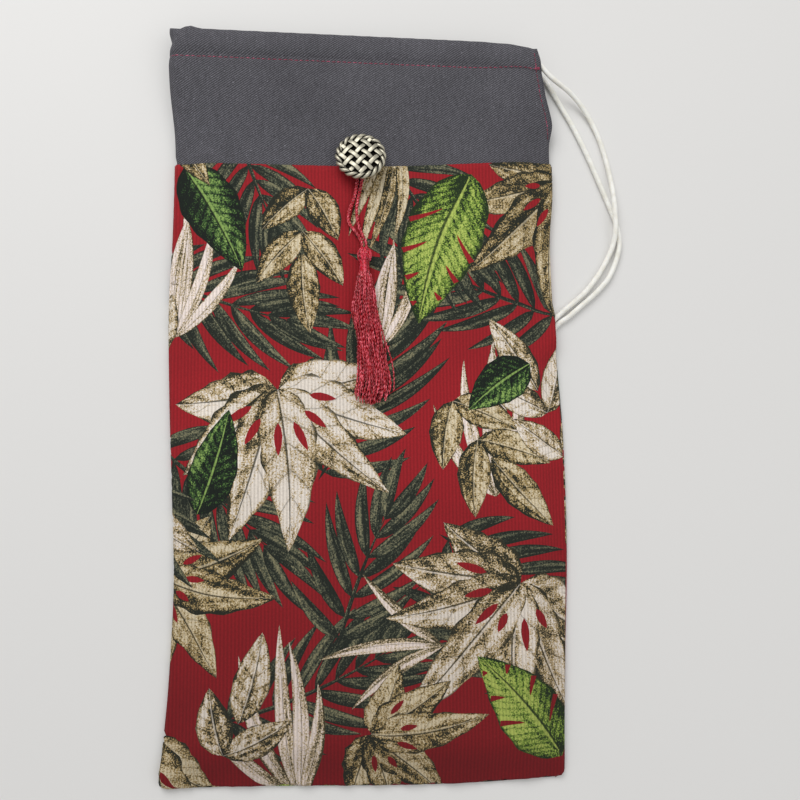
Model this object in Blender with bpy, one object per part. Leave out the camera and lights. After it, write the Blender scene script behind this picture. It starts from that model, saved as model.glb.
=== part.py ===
"""A flat drawstring pouch: a printed cotton body, a plain twill band with a cord casing,
a woven metal button and a tassel. It lies on its back with its front up.

X runs across the pouch, Y along it to the mouth, and Z out of its front. The origin is the
middle of the footprint, on the surface that the pouch lies on. Lengths are in metres.
"""

import math

import bmesh
import bpy
from mathutils import Euler, Matrix, Vector

# The cloth pieces
BAG_WIDTH = 0.1745
BAG_HEIGHT = 0.336
COTTON = 0.0006
TWILL = 0.0006
FIT = 0.0003
TUCK_PLAY = 0.0005
LOFT = 0.0084
FOLD_THICK = 0.0034
SEAM_THICK = 0.0056
BOTTOM_THICK = 0.0022
BOTTOM_SEAM = 0.006
BOTTOM_RAMP = 0.020
BOTTOM_CORNER = 0.0032
SIDE_RAMP = 0.015

# The band, its casing and its slit
BAND_DEPTH = 0.0615
BAND_TUCK = 0.008
BAND_RISE = 0.005
CASING_DEPTH = 0.0115
CASING_HEM = 0.0015
CORD_PLAY = 0.0004
CASING_SWELL = 2.2
CASING_FLATNESS = 0.8
CORD_HEIGHT = 0.65
MOUTH_GAP = 0.0050
SLIT_DEPTH = 0.050
SLIT_RUN = 0.012
SLIT_SINK = 0.0022

# How far the worn edges stray: from the straight side, outwards, by share of the half height
LEFT_DRIFT = (
    (-1.0, 0.0012), (-0.72, -0.0016), (-0.48, -0.0030), (-0.25, -0.0016), (0.0, 0.0002),
    (0.25, 0.0011), (0.45, -0.0002), (0.70, -0.0003), (0.86, 0.0022), (1.0, 0.0028),
)
RIGHT_DRIFT = (
    (-1.0, -0.0012), (-0.70, 0.0006), (-0.40, 0.0028), (-0.10, 0.0028), (0.18, 0.0006),
    (0.42, -0.0005), (0.54, 0.0014), (0.66, 0.0015), (0.77, 0.0013), (0.88, -0.0026),
    (1.0, -0.0050),
)
TOP_DROP = 0.0012
TOP_CORNER_DROP = 0.0013
BOTTOM_RISE = 0.0031
BOTTOM_CORNER_RISE = 0.0009

# The drawstring and its knot
CORD = 0.0024
CORD_SIDES = 8
KNOT_TURN = 0.66
KNOT_FLATNESS = 0.85
KNOT_STUB = 0.009
TENT_PLAY = 0.0005
TENT_FALL = 0.011
STRAND_FALL = 0.006
FRONT_ROUTE = (
    (0.0838, 0.1592, 0.0096), (0.0880, 0.1560, 0.0088), (0.0938, 0.1505, 0.0062),
    (0.0998, 0.1451, 0.0034), (0.1055, 0.1373, 0.0018), (0.1097, 0.1276, 0.00130),
    (0.1133, 0.1166, 0.00130), (0.1161, 0.1056, 0.0021), (0.1179, 0.0951, 0.0038),
    (0.1185, 0.0876, 0.0041), (0.1185, 0.0805, 0.0038), (0.1175, 0.0735, 0.0023),
    (0.1141, 0.0656, 0.00130), (0.1097, 0.0585, 0.00130), (0.1038, 0.0511, 0.00130),
    (0.0981, 0.0459, 0.00130), (0.0932, 0.0420, 0.00130), (0.0883, 0.0376, 0.00130),
    (0.0836, 0.0332, 0.00130), (0.0793, 0.0284, 0.00130), (0.0755, 0.0232, 0.00130),
    (0.0721, 0.0187, 0.00150), (0.0695, 0.0155, 0.00200),
)
REAR_ROUTE = (
    (0.0838, 0.1592, 0.00225), (0.0871, 0.1584, 0.00225), (0.0895, 0.1555, 0.00180),
    (0.0905, 0.1508, 0.00130), (0.0924, 0.1456, 0.00130), (0.0957, 0.1392, 0.00130),
    (0.0995, 0.1318, 0.00130), (0.1036, 0.1229, 0.00130), (0.1077, 0.1135, 0.00130),
    (0.1113, 0.1046, 0.00130), (0.1149, 0.0963, 0.00130), (0.1178, 0.0894, 0.00130),
    (0.1202, 0.0821, 0.00130), (0.1210, 0.0742, 0.00130), (0.1190, 0.0661, 0.00130),
    (0.1150, 0.0576, 0.00130), (0.1103, 0.0521, 0.00130), (0.1060, 0.0480, 0.00130),
    (0.0998, 0.0428, 0.00130), (0.0950, 0.0388, 0.00130), (0.0901, 0.0354, 0.00130),
    (0.0856, 0.0312, 0.00130), (0.0815, 0.0266, 0.00130), (0.0777, 0.0216, 0.00130),
    (0.0743, 0.0169, 0.00150), (0.0717, 0.0136, 0.00200),
)
KNOT_X = 0.0662
KNOT_Y = 0.0098

# The button
BUTTON_X = -0.0026
BUTTON_ABOVE_SEAM = 0.0025
BUTTON_DIAMETER = 0.0235
BUTTON_TILT = (math.radians(-12), math.radians(-4), 0.0)
ROPE_STRAND = 0.0017
ROPE_SPREAD = 0.00075
ROPE_TURNS = 9
ROPE_STEPS = 7
ROPE_SIDES = 10
ROPE_LEVEL = 0.0014
ROPE_LAP = -0.0003
STRAP_WIDTH = 0.0021
STRAP_THICK = 0.00095
STRAP_PITCH = 0.0041
STRAP_WAVE = 0.00042
STRAP_EDGE = 0.00012
STRAP_ROWS = 4
STRAP_ANGLE = math.radians(-42)
DOME_RISE = 0.0016
PLATE_THICK = 0.0011
SHANK_RING = 0.0018
SHANK_WIRE = 0.0014
SHANK_DROP = 1.05

# The tassel, measured down from its head
TASSEL_X = -0.0012
TASSEL_HEAD_BELOW_BUTTON = 0.0420
TASSEL_LEAN = 0.0036
LOOP_CORD = 0.0017
LOOP_BULGE = 0.0046
HEAD_RISE_RUN = 0.012
HEAD_LENGTH = 0.0061
HEAD_WIDTH = 0.0062
HEAD_HEIGHT = 0.0054
BINDING_LENGTH = 0.0040
BINDING_WIDTH = 0.0045
BINDING_TURNS = 5
SKIRT_LENGTH = 0.0600
SKIRT_FLUTES = 9
SKIRT_SHAPE = (
    (0.0, 0.0027, 0.0023), (0.09, 0.0039, 0.0028), (0.22, 0.0056, 0.0029),
    (0.38, 0.0068, 0.0026), (0.58, 0.0074, 0.0023), (0.80, 0.0080, 0.0020),
    (0.95, 0.0083, 0.0018), (1.0, 0.0079, 0.0016),
)

# Worked out from the sizes above
HALF_WIDTH = BAG_WIDTH / 2
TOP_Y = BAG_HEIGHT / 2
BOTTOM_Y = -BAG_HEIGHT / 2
SEAM_Y = TOP_Y - BAND_DEPTH
TUCK_Y = SEAM_Y - BAND_TUCK
STITCH_Y = TOP_Y - CASING_DEPTH
SLIT_Y = TOP_Y - SLIT_DEPTH
UNDERLAP = COTTON + TUCK_PLAY
TUNNEL = CORD + 2 * CORD_PLAY
CASING_THICK = TUNNEL + 2 * TWILL
MOUTH_LOFT = 2 * CASING_THICK + MOUTH_GAP
SLIT_LOFT = MOUTH_LOFT - SLIT_SINK
CORD_INSET = UNDERLAP + TWILL + 0.89 * (TUNNEL / 2 - UNDERLAP)
KNOT_SIZE = KNOT_TURN * CORD
KNOT_RADIUS = 3 * KNOT_SIZE + CORD / 2
KNOT_HEIGHT = 2 * KNOT_SIZE * KNOT_FLATNESS + CORD
KNOT_LIFT = KNOT_HEIGHT + TENT_PLAY
STRAND_LIFT = CORD + TENT_PLAY
PAIR_REACH = CORD * 1.6
REST_Z = LOFT + FIT
BUTTON_Y = SEAM_Y + BUTTON_ABOVE_SEAM
HEAD_Y = BUTTON_Y - TASSEL_HEAD_BELOW_BUTTON
SIDE_STEPS = 3


def smooth(t):
    """An S-shaped step from 0 to 1."""
    t = min(max(t, 0.0), 1.0)
    return t * t * (3 - 2 * t)


def mix(a, b, share):
    return a + (b - a) * share


def steps(start, end, count):
    """Evenly spaced places from start, leaving out the end."""
    return [mix(start, end, k / count) for k in range(count)]


def through(stops, place):
    """The value at a place on a smooth line through stops of (place, value)."""
    place = min(max(place, stops[0][0]), stops[-1][0])
    k = max(i for i in range(len(stops) - 1) if stops[i][0] <= place)

    def slope(i):
        if i in (0, len(stops) - 1):
            return 0.0
        return (stops[i + 1][1] - stops[i - 1][1]) / (stops[i + 1][0] - stops[i - 1][0])

    run = stops[k + 1][0] - stops[k][0]
    t = (place - stops[k][0]) / run
    start = stops[k][1] * (1 + 2 * t) * (1 - t) ** 2 + slope(k) * run * t * (1 - t) ** 2
    end = stops[k + 1][1] * t * t * (3 - 2 * t) + slope(k + 1) * run * t * t * (t - 1)
    return start + end


def curve_through(route, spacing):
    """Points about this far apart on a smooth curve through the points of a route."""
    knots = [Vector(p) for p in route]
    dense = []
    for k in range(len(knots) - 1):
        before = knots[max(k - 1, 0)]
        after = knots[min(k + 2, len(knots) - 1)]
        a, b = knots[k], knots[k + 1]
        for t in steps(0.0, 1.0, 12):
            point = (2 * a + (b - before) * t + (2 * before - 5 * a + 4 * b - after) * t * t
                     + (3 * a - before - 3 * b + after) * t ** 3)
            dense.append(point / 2)
    dense.append(knots[-1])
    length = sum((q - p).length for p, q in zip(dense, dense[1:]))
    count = max(round(length / spacing), 1)
    points, walked, wanted = [dense[0]], 0.0, length / count
    for p, q in zip(dense, dense[1:]):
        walked += (q - p).length
        if walked >= wanted * len(points) and len(points) < count:
            points.append(q)
    return points + [dense[-1]]


def left_side(y):
    corner = BOTTOM_CORNER * (1 - rounding(y))
    return -HALF_WIDTH - through(LEFT_DRIFT, y / TOP_Y) + corner


def right_side(y):
    corner = BOTTOM_CORNER * (1 - rounding(y))
    return HALF_WIDTH + through(RIGHT_DRIFT, y / TOP_Y) - corner


def rounding(y):
    """0 at the bottom edge and 1 where its rounded corners end."""
    t = min(max((y - BOTTOM_Y) / BOTTOM_CORNER, 0.0), 1.0)
    return math.sqrt(1 - (1 - t) ** 2)


def lie(x, y):
    """Where a line straight across the flat pouch lies once its ends have crept."""
    right = x / BAG_WIDTH + 0.5
    top = TOP_DROP * right + TOP_CORNER_DROP * smooth((x - 0.80 * HALF_WIDTH) / (0.2 * HALF_WIDTH))
    seam = BAND_RISE * smooth((right - 0.44) / 0.62)
    low = BOTTOM_RISE * (1 - smooth((right - 0.04) / 0.68))
    low += BOTTOM_CORNER_RISE * smooth((right - 0.76) / 0.22)
    at_top = smooth((y - SEAM_Y) / (STITCH_Y - SEAM_Y))
    at_seam = smooth((y - TUCK_Y + 0.05) / 0.046) * (1 - smooth((y - SEAM_Y - 0.003) / 0.036))
    at_bottom = 1 - smooth((y - BOTTOM_Y) / 0.045)
    return y - top * at_top + seam * at_seam + low * at_bottom


def loft(y):
    """Thickness over the middle, outside to outside of the printed skin's line."""
    full = mix(LOFT, MOUTH_LOFT, smooth((y - SEAM_Y) / (TOP_Y - CASING_DEPTH / 2 - SEAM_Y)))
    return mix(BOTTOM_THICK, full, smooth((y - BOTTOM_Y) / BOTTOM_RAMP))


def side_loft(y, at_mouth):
    """Thickness at a rounded side."""
    body = mix(FOLD_THICK, SEAM_THICK, smooth(y / SEAM_Y))
    full = mix(body, at_mouth, smooth((y - SEAM_Y) / (TOP_Y - CASING_DEPTH / 2 - SEAM_Y)))
    return mix(BOTTOM_THICK, full, smooth((y - BOTTOM_Y) / (BOTTOM_RAMP / 2)))


def strand_distance(x, y):
    """Distance from the line midway between the two strands under the pouch."""
    count = 7
    pairs = [((a[0] + b[0]) / 2, (a[1] + b[1]) / 2)
             for a, b in zip(FRONT_ROUTE[-count:], REAR_ROUTE[-count:])]
    near = []
    for (ax, ay), (bx, by) in zip(pairs, pairs[1:]):
        dx, dy = bx - ax, by - ay
        t = ((x - ax) * dx + (y - ay) * dy) / (dx * dx + dy * dy)
        t = min(max(t, 0.0), 1.0)
        near.append(math.hypot(x - ax - t * dx, y - ay - t * dy))
    return min(near)


def tent(x, y):
    """How far the knot and the two strands under the pouch lift its back."""
    off_knot = math.hypot(x - KNOT_X, y - KNOT_Y) - KNOT_RADIUS * 1.2
    over_knot = KNOT_LIFT * (1 - smooth(off_knot / TENT_FALL))
    off_pair = strand_distance(x, y) - PAIR_REACH
    over_pair = STRAND_LIFT * (1 - smooth(off_pair / STRAND_FALL))
    return (over_knot ** 4 + over_pair ** 4) ** 0.25


def sides(y):
    """Centre and radius of the rounded left side, then of the right one."""
    left, right = side_loft(y, MOUTH_LOFT) / 2, side_loft(y, SLIT_LOFT) / 2
    spread = smooth((y - SLIT_Y) / SLIT_RUN)
    return left_side(y) + left, left, right_side(y) - right * (1 - spread), right


def heights(x, y):
    """Heights of the back skin and of the front skin."""
    left, left_radius, right, right_radius = sides(y)
    by_left = 1 - smooth((x - left) / SIDE_RAMP)
    by_right = 1 - smooth((right - x) / SIDE_RAMP)
    back, full = tent(x, lie(x, y)), loft(y)
    front = full + (2 * left_radius - full) * by_left + (2 * right_radius - full) * by_right
    return back, front + back * max(by_left, by_right)


def skin_point(x, y, inset, face):
    """A point this far inside the back skin (face 0) or the front skin (face 1)."""
    probe = 0.0005
    across = (heights(x + probe, y)[face] - heights(x - probe, y)[face]) / (2 * probe)
    along = (heights(x, y + probe)[face] - heights(x, y - probe)[face]) / (2 * probe)
    depth = inset * math.sqrt(1 + across ** 2 + along ** 2)
    return Vector((x, lie(x, y), heights(x, y)[face] + (-depth if face else depth)))


def side_point(centre, radius, y, inset, angle):
    """A point on a rounded side, by its angle up from +X."""
    x = centre + (radius - inset) * math.cos(angle)
    z = tent(centre, lie(centre, y)) + radius + (radius - inset) * math.sin(angle)
    return Vector((x, lie(x, y), z))


def section(y, inset, columns):
    """A ring round the pouch at this height: front, right side, back and left side."""
    left, left_radius, right, right_radius = sides(y)
    across = columns(left, right)
    turns = [math.pi / 2 - math.pi * k / (SIDE_STEPS + 1) for k in range(1, SIDE_STEPS + 1)]
    ring = [skin_point(x, y, inset, 1) for x in across]
    ring += [side_point(right, right_radius, y, inset, a) for a in turns]
    ring += [skin_point(x, y, inset, 0) for x in reversed(across)]
    ring += [side_point(left, left_radius, y, inset, a + math.pi) for a in turns]
    return ring


def print_columns(left, right):
    """Places across the printed body, closer over the knot and the strands."""
    near_left, near_right = left + SIDE_RAMP, right - SIDE_RAMP
    over_knot = KNOT_X - KNOT_RADIUS * 1.2 - TENT_FALL
    return (steps(left, near_left, SIDE_STEPS) + steps(near_left, over_knot, 4)
            + steps(over_knot, near_right, 6) + steps(near_right, right, SIDE_STEPS) + [right])


def band_columns(left, right):
    near_left, near_right = left + SIDE_RAMP, right - SIDE_RAMP
    return (steps(left, near_left, SIDE_STEPS) + steps(near_left, near_right, 4)
            + steps(near_right, right, SIDE_STEPS) + [right])


def material(name, colour, roughness, metallic=0.0):
    made = bpy.data.materials.new(name)
    made.use_nodes = True
    shader = made.node_tree.nodes["Principled BSDF"]
    shader.inputs["Base Color"].default_value = (*colour, 1.0)
    shader.inputs["Roughness"].default_value = roughness
    shader.inputs["Metallic"].default_value = metallic
    return made


def finished(name, shell, finish, sharp):
    """An object of a finished shell, smooth except at its sharp edges."""
    mesh = bpy.data.meshes.new(name)
    shell.to_mesh(mesh)
    shell.free()
    mesh.shade_smooth()
    mesh.set_sharp_from_angle(angle=math.radians(sharp))
    made = bpy.data.objects.new(name, mesh)
    bpy.context.scene.collection.objects.link(made)
    if finish:
        mesh.materials.append(finish)
    return made


def skin(name, rings, finish, cyclic=False, sharp=40):
    """One closed body over equal rings of points, capped at both ends or joined round."""
    shell = bmesh.new()
    rows = [[shell.verts.new(point) for point in ring] for ring in rings]
    count = len(rings[0])
    for low, high in zip(rows, rows[1:] + (rows[:1] if cyclic else [])):
        for k in range(count):
            after = (k + 1) % count
            shell.faces.new((low[k], low[after], high[after], high[k]))
    if not cyclic:
        for end in (rows[0], rows[-1]):
            shell.faces.new(end)
    bmesh.ops.triangulate(shell, faces=shell.faces)
    bmesh.ops.recalc_face_normals(shell, faces=shell.faces)
    return finished(name, shell, finish, sharp)


def tube_rings(points, radius, sides_round, up, cyclic=False):
    """Rings round a path, each turned so that its first point faces `up`."""
    rings = []
    for k, point in enumerate(points):
        before = points[k - 1] if k or cyclic else point
        after = points[(k + 1) % len(points)] if k < len(points) - 1 or cyclic else point
        ahead = (after - before).normalized()
        normal = (up - ahead * up.dot(ahead)).normalized()
        beside = ahead.cross(normal)
        rings.append([point + radius * (math.cos(a) * normal + math.sin(a) * beside)
                      for a in steps(0.0, 2 * math.pi, sides_round)])
    return rings


def tool(shape):
    """Marks a shape as a guide that the model only cuts with or adds to another."""
    shape.hide_render = True
    shape.display_type = "WIRE"
    return shape


def combine(target, others, operation):
    """Cuts all the other shapes from the target, or adds them to it, in one step."""
    group = bpy.data.collections.new(target.name + "_tools")
    for other in others:
        group.objects.link(tool(other))
    modifier = target.modifiers.new(operation.title(), "BOOLEAN")
    modifier.operation = operation
    modifier.solver = "EXACT"
    modifier.operand_type = "COLLECTION"
    modifier.collection = group
    modifier.use_self = operation == "UNION"


def make_print_cloth(finish):
    """The body: both faces, the rounded sides and the closed bottom, as one skin."""
    tent_low, tent_high = KNOT_Y - KNOT_RADIUS - TENT_FALL, KNOT_Y + 0.040
    low = [BOTTOM_Y + BOTTOM_SEAM, BOTTOM_Y + 0.5 * BOTTOM_RAMP, BOTTOM_Y + 0.75 * BOTTOM_RAMP]
    rows = (low + steps(BOTTOM_Y + 1.1 * BOTTOM_RAMP, tent_low, 3)
            + steps(tent_low, tent_high, 9) + steps(tent_high, SEAM_Y, 3) + [SEAM_Y])
    hem = BOTTOM_THICK / 4
    places = [(BOTTOM_Y, 1.2 * hem), (BOTTOM_Y + hem, 0.4 * hem), (BOTTOM_Y + 3 * hem, 0.0)]
    places += [(y, 0.0) for y in rows] + [(y, COTTON) for y in reversed(rows)]
    rings = [section(y, inset, print_columns) for y, inset in places]
    return skin("print_cloth", rings, finish, sharp=60)


def bulge(t):
    """How full the casing is, from its stitching at 0 to the top fold at 1."""
    return max(1 - abs(2 * t - 1) ** CASING_SWELL, 0.0) ** CASING_FLATNESS


def make_top_band(finish):
    """The band, swept round the pouch, with the casing's tunnel and the slit cut out."""
    def ring(y, depth):
        return section(y, UNDERLAP + depth, band_columns)

    hem_y = STITCH_Y - CASING_HEM
    plain = steps(TUCK_Y, hem_y, 6) + [hem_y]
    swell = (0.10, 0.22, 0.36, 0.50, 0.64, 0.78, 0.90)
    outward, inward = UNDERLAP, TUNNEL - UNDERLAP
    rings = [ring(y, 0.0) for y in plain + [STITCH_Y]]
    rings += [ring(mix(STITCH_Y, TOP_Y, t), -outward * bulge(t)) for t in swell]
    rings += [ring(TOP_Y, 0.2 * TWILL), ring(TOP_Y, 1.8 * TWILL)]
    rings += [ring(mix(STITCH_Y, TOP_Y, t), 2 * TWILL + inward * bulge(t)) for t in reversed(swell)]
    rings += [ring(STITCH_Y, 2 * TWILL), ring(hem_y, 2 * TWILL)]
    rings += [ring(y, TWILL) for y in reversed(plain)]
    band = skin("top_band", rings, finish, cyclic=True, sharp=60)

    low, high = STITCH_Y + TWILL, TOP_Y - TWILL
    wall = [ring(mix(low, high, t), TWILL - outward * bulge(t)) for t in (0.0,) + swell + (1.0,)]
    wall += [ring(mix(low, high, t), TWILL + inward * bulge(t)) for t in reversed(swell)]
    tunnel = skin("casing_tunnel", wall, None, cyclic=True)

    outside, beyond, margin = 0.0012, HALF_WIDTH * 1.3, 0.006
    edge = [(right_side(y) + outside * (1 - smooth((y - SLIT_Y) / (SLIT_RUN / 3))), y)
            for y in steps(SLIT_Y, TOP_Y + margin, 8) + [TOP_Y + margin]]
    outline = edge + [(beyond, TOP_Y + margin), (beyond, SLIT_Y)]
    plates = [[Vector((x, y, z)) for x, y in outline] for z in (-margin, MOUTH_LOFT + margin)]
    combine(band, (tunnel, skin("side_slit", plates, None)), "DIFFERENCE")
    return band


def casing_run():
    """The cord's way through the casing: along the front, round the left fold, back again."""
    left, radius = sides(STITCH_Y + CASING_DEPTH / 2)[:2]
    high, low = mix(STITCH_Y, TOP_Y, CORD_HEIGHT), mix(STITCH_Y, TOP_Y, 1 - CORD_HEIGHT)
    exit_y = FRONT_ROUTE[0][1] + TOP_DROP * 0.9
    ends = 13
    front, turn, rear = [], [], []
    for x in steps(FRONT_ROUTE[0][0] - CORD, left, ends):
        y = mix(high, exit_y, smooth((x - 0.2 * HALF_WIDTH) / (0.8 * HALF_WIDTH)))
        front.append(skin_point(x, y, CORD_INSET, 1))
    for k in range(6):
        angle = math.pi / 2 + math.pi * k / 5
        y = mix(high, low, k / 5)
        play = CORD_PLAY / 2 * math.sin(math.pi * k / 5)
        turn.append(side_point(left, radius, y, CORD_INSET + play, angle))
    for x in steps(left, REAR_ROUTE[0][0] - CORD, ends)[1:]:
        y = mix(low, exit_y, smooth((x - 0.2 * HALF_WIDTH) / (0.8 * HALF_WIDTH)))
        rear.append(skin_point(x, y, CORD_INSET, 0))
    return front + turn + rear


def make_drawstring(finish):
    """One cord: from the knot up to the front casing, round the fold, and back to the knot."""
    front = curve_through(FRONT_ROUTE, 3.1 * CORD)
    rear = curve_through(REAR_ROUTE, 3.1 * CORD)
    points = list(reversed(front)) + casing_run() + rear
    cord = bpy.data.curves.new("drawstring", "CURVE")
    cord.dimensions = "3D"
    cord.bevel_depth = CORD / 2
    cord.bevel_resolution = 2
    cord.use_fill_caps = True
    spline = cord.splines.new("POLY")
    spline.points.add(len(points) - 1)
    for knot, point in zip(spline.points, points):
        knot.co = (*point, 1.0)
    cord.materials.append(finish)
    made = bpy.data.objects.new("drawstring", cord)
    bpy.context.scene.collection.objects.link(made)
    return made


def make_knot(finish):
    """The cord's overhand knot, as a trefoil lying flat, with its two short ends."""
    facing = math.atan2(FRONT_ROUTE[-1][1] - KNOT_Y, FRONT_ROUTE[-1][0] - KNOT_X)
    centre = Vector((KNOT_X, KNOT_Y, KNOT_HEIGHT / 2 + CORD * 0.02))
    points = []
    for t in steps(0.0, 2 * math.pi, 36):
        reach = KNOT_SIZE * (2 + math.cos(3 * t))
        rise = KNOT_SIZE * KNOT_FLATNESS * math.sin(3 * t)
        points.append(centre + Vector((reach * math.cos(2 * t + facing),
                                       reach * math.sin(2 * t + facing), rise)))
    up = Vector((0, 0, 1))
    knot = skin("drawstring_knot", tube_rings(points, CORD / 2, CORD_SIDES, up, True), finish,
                cyclic=True)
    stubs = []
    for name, swing in (("stub_a", 2.75), ("stub_b", 3.55)):
        away = Vector((math.cos(facing + swing), math.sin(facing + swing), 0))
        root = Vector((KNOT_X, KNOT_Y, CORD * 0.52)) + away * KNOT_SIZE * 1.6
        ends = [root + away * KNOT_STUB * share for share in (0.0, 0.5, 1.0)]
        stubs.append(skin(name, tube_rings(ends, CORD / 2, CORD_SIDES, up), None))
    combine(knot, stubs, "UNION")
    return knot


def dome_height(radius):
    """Top of the button's plate under the straps, by distance from its middle."""
    return PLATE_THICK + DOME_RISE * (1 - (radius / (BUTTON_DIAMETER / 2)) ** 2)


def strap_top(run, straps_line, phase):
    """Height of a strap's face above the dome's line, as it rises over and dips under."""
    wave = STRAP_WAVE * math.cos(math.pi * run / STRAP_PITCH + phase + math.pi * straps_line)
    return STRAP_THICK + STRAP_WAVE + wave


def weave_height(u, v):
    """Top of the basket weave at a place measured along its two sets of straps."""
    middle = (STRAP_ROWS - 1) / 2
    highest = 0.0
    for across, run, phase in ((u, v, math.pi / 2), (v, u, -math.pi / 2)):
        row = min(max(round(across / STRAP_PITCH + middle), 0), STRAP_ROWS - 1)
        if abs(across - (row - middle) * STRAP_PITCH) <= STRAP_WIDTH / 2 * 1.001:
            highest = max(highest, strap_top(run, row, phase))
    return dome_height(math.hypot(u, v)) + highest


def make_weave(reach, finish):
    """The dome with its open basket weave, ending in a ragged edge that the rope hides."""
    middle, lines = (STRAP_ROWS - 1) / 2, [-reach, reach]
    for row in range(STRAP_ROWS):
        for place in (-0.5 * STRAP_WIDTH - STRAP_EDGE, -0.5 * STRAP_WIDTH, 0.0,
                      0.5 * STRAP_WIDTH, 0.5 * STRAP_WIDTH + STRAP_EDGE):
            lines.append((row - middle) * STRAP_PITCH + place)
    outer = max(lines[2:])
    lines += [-(outer + reach) / 2, (outer + reach) / 2]
    lines.sort()
    turn = Matrix.Rotation(STRAP_ANGLE, 4, "Z")
    shell = bmesh.new()
    corners = {}
    for i in range(len(lines) - 1):
        for j in range(len(lines) - 1):
            cell = [(lines[i + a], lines[j + b]) for a, b in ((0, 0), (1, 0), (1, 1), (0, 1))]
            if max(math.hypot(u, v) for u, v in cell) > reach:
                continue
            for u, v in cell:
                if (u, v) not in corners:
                    corners[u, v] = shell.verts.new(turn @ Vector((u, v, weave_height(u, v))))
            shell.faces.new([corners[place] for place in cell])
    rim = [edge for edge in shell.edges if edge.is_boundary]
    wall = bmesh.ops.extrude_edge_only(shell, edges=rim)["geom"]
    for item in wall:
        if isinstance(item, bmesh.types.BMVert):
            item.co.z = 0.0
    bmesh.ops.holes_fill(shell, edges=[edge for edge in shell.edges if edge.is_boundary])
    bmesh.ops.triangulate(shell, faces=shell.faces)
    bmesh.ops.recalc_face_normals(shell, faces=shell.faces)
    return finished("button", shell, finish, 30)


def rope_reach(angle, twist):
    """Distance from a two-strand rope's middle to its surface."""
    best = 0.0
    for strand in (0.0, math.pi):
        off = angle - twist - strand
        edge = (ROPE_STRAND / 2) ** 2 - (ROPE_SPREAD * math.sin(off)) ** 2
        best = max(best, ROPE_SPREAD * math.cos(off) + math.sqrt(max(edge, 0.0)))
    return best


def make_button(finish):
    """A domed basket weave, with a two-strand rope round it and a shank ring behind."""
    rope_middle = BUTTON_DIAMETER / 2 - ROPE_SPREAD - ROPE_STRAND / 2
    button = make_weave(rope_middle + ROPE_LAP, finish)
    rings = []
    for a in steps(0.0, 2 * math.pi, ROPE_TURNS * ROPE_STEPS):
        ring = []
        for b in steps(0.0, 2 * math.pi, ROPE_SIDES):
            reach = rope_reach(b, ROPE_TURNS * a)
            r = rope_middle + reach * math.cos(b)
            ring.append(Vector((r * math.cos(a), r * math.sin(a),
                                ROPE_LEVEL + reach * math.sin(b))))
        rings.append(ring)
    rope = skin("rope_rim", rings, None, cyclic=True)
    ring = [Vector((SHANK_RING * math.cos(a), 0, SHANK_RING * (math.sin(a) - SHANK_DROP)))
            for a in steps(0.1, 0.1 + 2 * math.pi, 16)]
    shank = skin("shank", tube_rings(ring, SHANK_WIRE / 2, 8, Vector((0, 1, 0)), True), None,
                 cyclic=True)
    tilt = Euler(BUTTON_TILT).to_matrix().to_4x4()
    lift = loft(BUTTON_Y) - UNDERLAP + FIT + SHANK_RING * (1 + SHANK_DROP) + SHANK_WIRE / 2
    place = Matrix.Translation((BUTTON_X, BUTTON_Y, lift))
    for part in (button, rope, shank):
        part.matrix_world = place @ tilt
    combine(button, (rope, shank), "UNION")
    return button


def tassel_rings(stations, flutes, depth, count, lean_from, lean_to):
    """Rings down the tassel, flattened onto the cloth, from (distance, width, height)."""
    rings = []
    for down, half_width, half_height in stations:
        share = (down - stations[0][0]) / (stations[-1][0] - stations[0][0])
        x = TASSEL_X + mix(lean_from, lean_to, share)
        ring = []
        for a in steps(0.0, 2 * math.pi, count):
            swell = 1 - depth * 0.5 * (1 - math.cos(flutes * a))
            ring.append(Vector((x + half_width * swell * math.cos(a), HEAD_Y - down,
                                REST_Z + half_height * (1 + swell * math.sin(a)))))
        rings.append(ring)
    return rings


def make_tassel_loop(finish):
    """The doubled cord, from the head round the button's shank and back to the head."""
    radius = SHANK_RING + SHANK_WIRE / 2 + 2 * FIT + LOOP_CORD / 2
    end_y, pair = HEAD_Y + FIT, LOOP_CORD * 0.6
    middle = mix(BUTTON_Y, HEAD_Y, 0.6)
    left = [(TASSEL_X - pair, end_y), (TASSEL_X - pair - LOOP_BULGE * 0.3, end_y + 0.005),
            (BUTTON_X - LOOP_BULGE, middle), (BUTTON_X - radius * 0.8, BUTTON_Y - 0.010)]
    right = [(BUTTON_X + radius * 0.8, BUTTON_Y - 0.010), (TASSEL_X + pair, middle),
             (TASSEL_X + pair, end_y + 0.005), (TASSEL_X + pair, end_y)]
    arc = [(BUTTON_X - radius * math.cos(a), BUTTON_Y + radius * math.sin(a))
           for a in steps(0.0, math.pi, 8) + [math.pi]]
    level = REST_Z + 0.55 * LOOP_CORD
    at_head = REST_Z + HEAD_HEIGHT * 0.45
    route = []
    for x, y in left + arc + right:
        rise = (at_head - level) * (1 - smooth((y - end_y) / HEAD_RISE_RUN))
        route.append((x, y, level + rise))
    points = curve_through(route, 1.6 * LOOP_CORD)
    return skin("tassel_loop", tube_rings(points, LOOP_CORD / 2, 8, Vector((0, 0, 1))), finish)


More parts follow.
